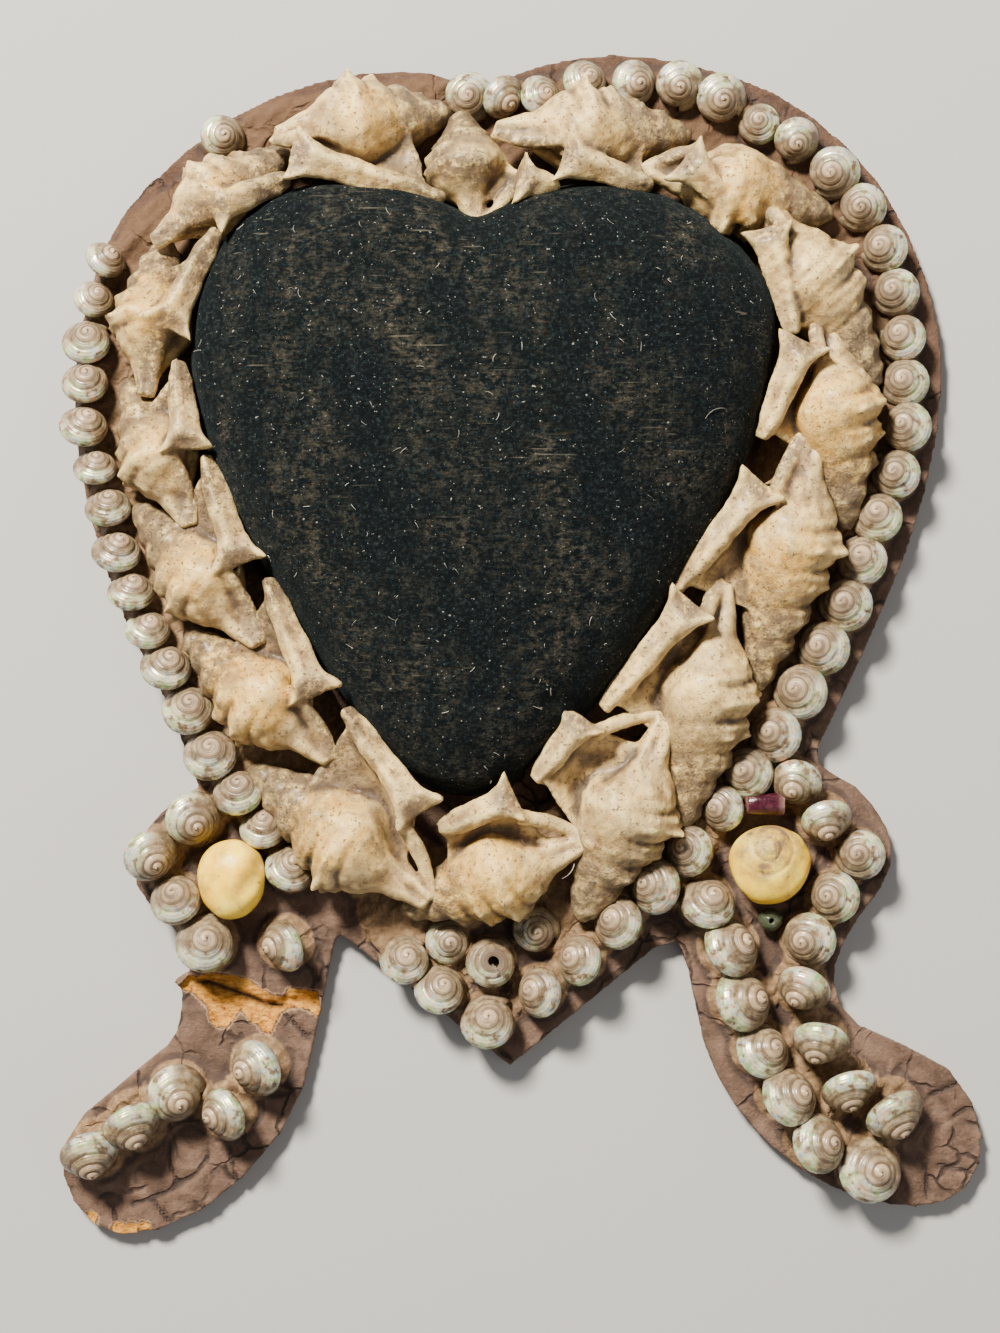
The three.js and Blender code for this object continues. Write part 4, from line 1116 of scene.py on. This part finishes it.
cushion = remeshed_copy("heart_cushion_velvet", "heart_cushion", VELVET_GRAIN, 0.99)
mesh = cushion.data
start = points_of(mesh)
foot = cushion.vertex_groups.new(name="held")
foot.add(np.flatnonzero(start[:, 2] < HELD_BELOW).tolist(), 1.0, "REPLACE")
cloth = cushion.modifiers.new("filling", "CLOTH")
cloth.settings.use_pressure = True
cloth.settings.uniform_pressure_force = 4.0
cloth.settings.effector_weights.gravity = 0
cloth.settings.vertex_group_mass = "held"
cloth.settings.tension_stiffness = 25
cloth.settings.compression_stiffness = 25
cloth.settings.quality = 6
for step in range(1, SETTLING_FRAMES + 1):
    bpy.context.scene.frame_set(step)
settle(cushion)
mesh = cushion.data
bpy.context.scene.frame_set(1)
shift = points_of(mesh) - start
far = np.linalg.norm(shift, axis=1)
shift *= (np.minimum(far, FULLEST) / np.maximum(far, 1e-9))[:, None]
set_points(mesh, start + shift)
smoother = cushion.modifiers.new("smoother", "SUBSURF")
smoother.levels = 1
smoother.render_levels = 1
settle(cushion)
mesh = cushion.data
points = points_of(mesh)
normals = normals_of(mesh)
cushion_low, cushion_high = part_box("heart_cushion")
for axis in (0, 1):
    least, most = points[:, axis].min(), points[:, axis].max()
    wanted = cushion_high[axis] - cushion_low[axis] + DRAWN_OVER
    middle = (cushion_high[axis] + cushion_low[axis]) / 2
    points[:, axis] = (points[:, axis] - (most + least) / 2) * wanted / (most - least) + middle
crease = distance_to_line(points, np.array([from_photo(*p) for p in CREASE]))
lumpy = 0.30 * ripples(points, 26 * MM, 21) + 0.10 * ripples(points, 8 * MM, 22)
lumpy -= 0.35 * np.exp(-(crease / (1.6 * MM)) ** 2)
lumpy *= np.clip((points[:, 2] - 8 * MM) / (8 * MM), 0, 1)
points = points + normals * (lumpy * MM)[:, None]
points[:, 2] = np.maximum(points[:, 2], BOARD_TOP)
set_points(mesh, points)
dress(mesh, velvet_finish())
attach(cushion, "root")
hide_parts("heart_cushion")


# Lint: short pale fibres and two long hairs that cling to the velvet's pile.
# Each is a thin bent thread lying on the cushion's skin, seen as the white flecks of the photograph.
LINT_COUNT = 95
LINT_STATIONS = 8
LONG_HAIRS = [(696, 430, 1.2, 5.2, -1.3), (560, 872, 0.3, 4.0, 1.0)]


def lint_finish():
    finish, tree, shader, place = new_finish("lint")
    tone = ramp(noise(place, 4.0, 2.0), [(0.40, (0.16, 0.15, 0.13)), (0.60, (0.50, 0.48, 0.42))])
    fill_in(shader, {"Base Color": tone, "Roughness": 0.8})
    return finish


skin_points = points_of(cushion.data)
skin_normals = normals_of(cushion.data)
upper = np.flatnonzero((skin_points[:, 2] > 14 * MM) & (skin_normals[:, 2] > 0.45))
skin_tree = kdtree.KDTree(len(upper))
for i in upper:
    skin_tree.insert((skin_points[i, 0], skin_points[i, 1], 0), int(i))
skin_tree.balance()
lint_points = []
lint_faces = []
threads = [(*skin_points[i, :2], dice.uniform(0, 6.3), dice.uniform(0.5, 1.9) * MM,
            dice.uniform(-1.6, 1.6), 0.035) for i in dice.choice(upper, LINT_COUNT)]
threads += [(*from_photo(x, y), way, length * MM, curl, 0.05) for x, y, way, length, curl in LONG_HAIRS]
for x, y, first_way, length, curl, thickness in threads:
    lint_faces += tube_faces(LINT_STATIONS - 1, 4, LINT_STATIONS, len(lint_points))
    for i in range(LINT_STATIONS):
        share = i / (LINT_STATIONS - 1)
        way = first_way + curl * share
        if i:
            x += length / LINT_STATIONS * math.cos(way)
            y += length / LINT_STATIONS * math.sin(way)
        nearest = skin_tree.find((x, y, 0))[1]
        high = skin_points[nearest, 2] + (0.05 + 0.25 * math.sin(math.pi * share)) * MM
        for j in range(4):
            angle = math.pi / 2 * j
            aside = math.cos(angle) * thickness * MM
            lint_points.append((x - math.sin(way) * aside, y + math.cos(way) * aside,
                                high + math.sin(angle) * thickness * MM))
lint = make_piece("heart_cushion_lint", lint_points, lint_faces, {}, lint_finish())
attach(lint, "root")
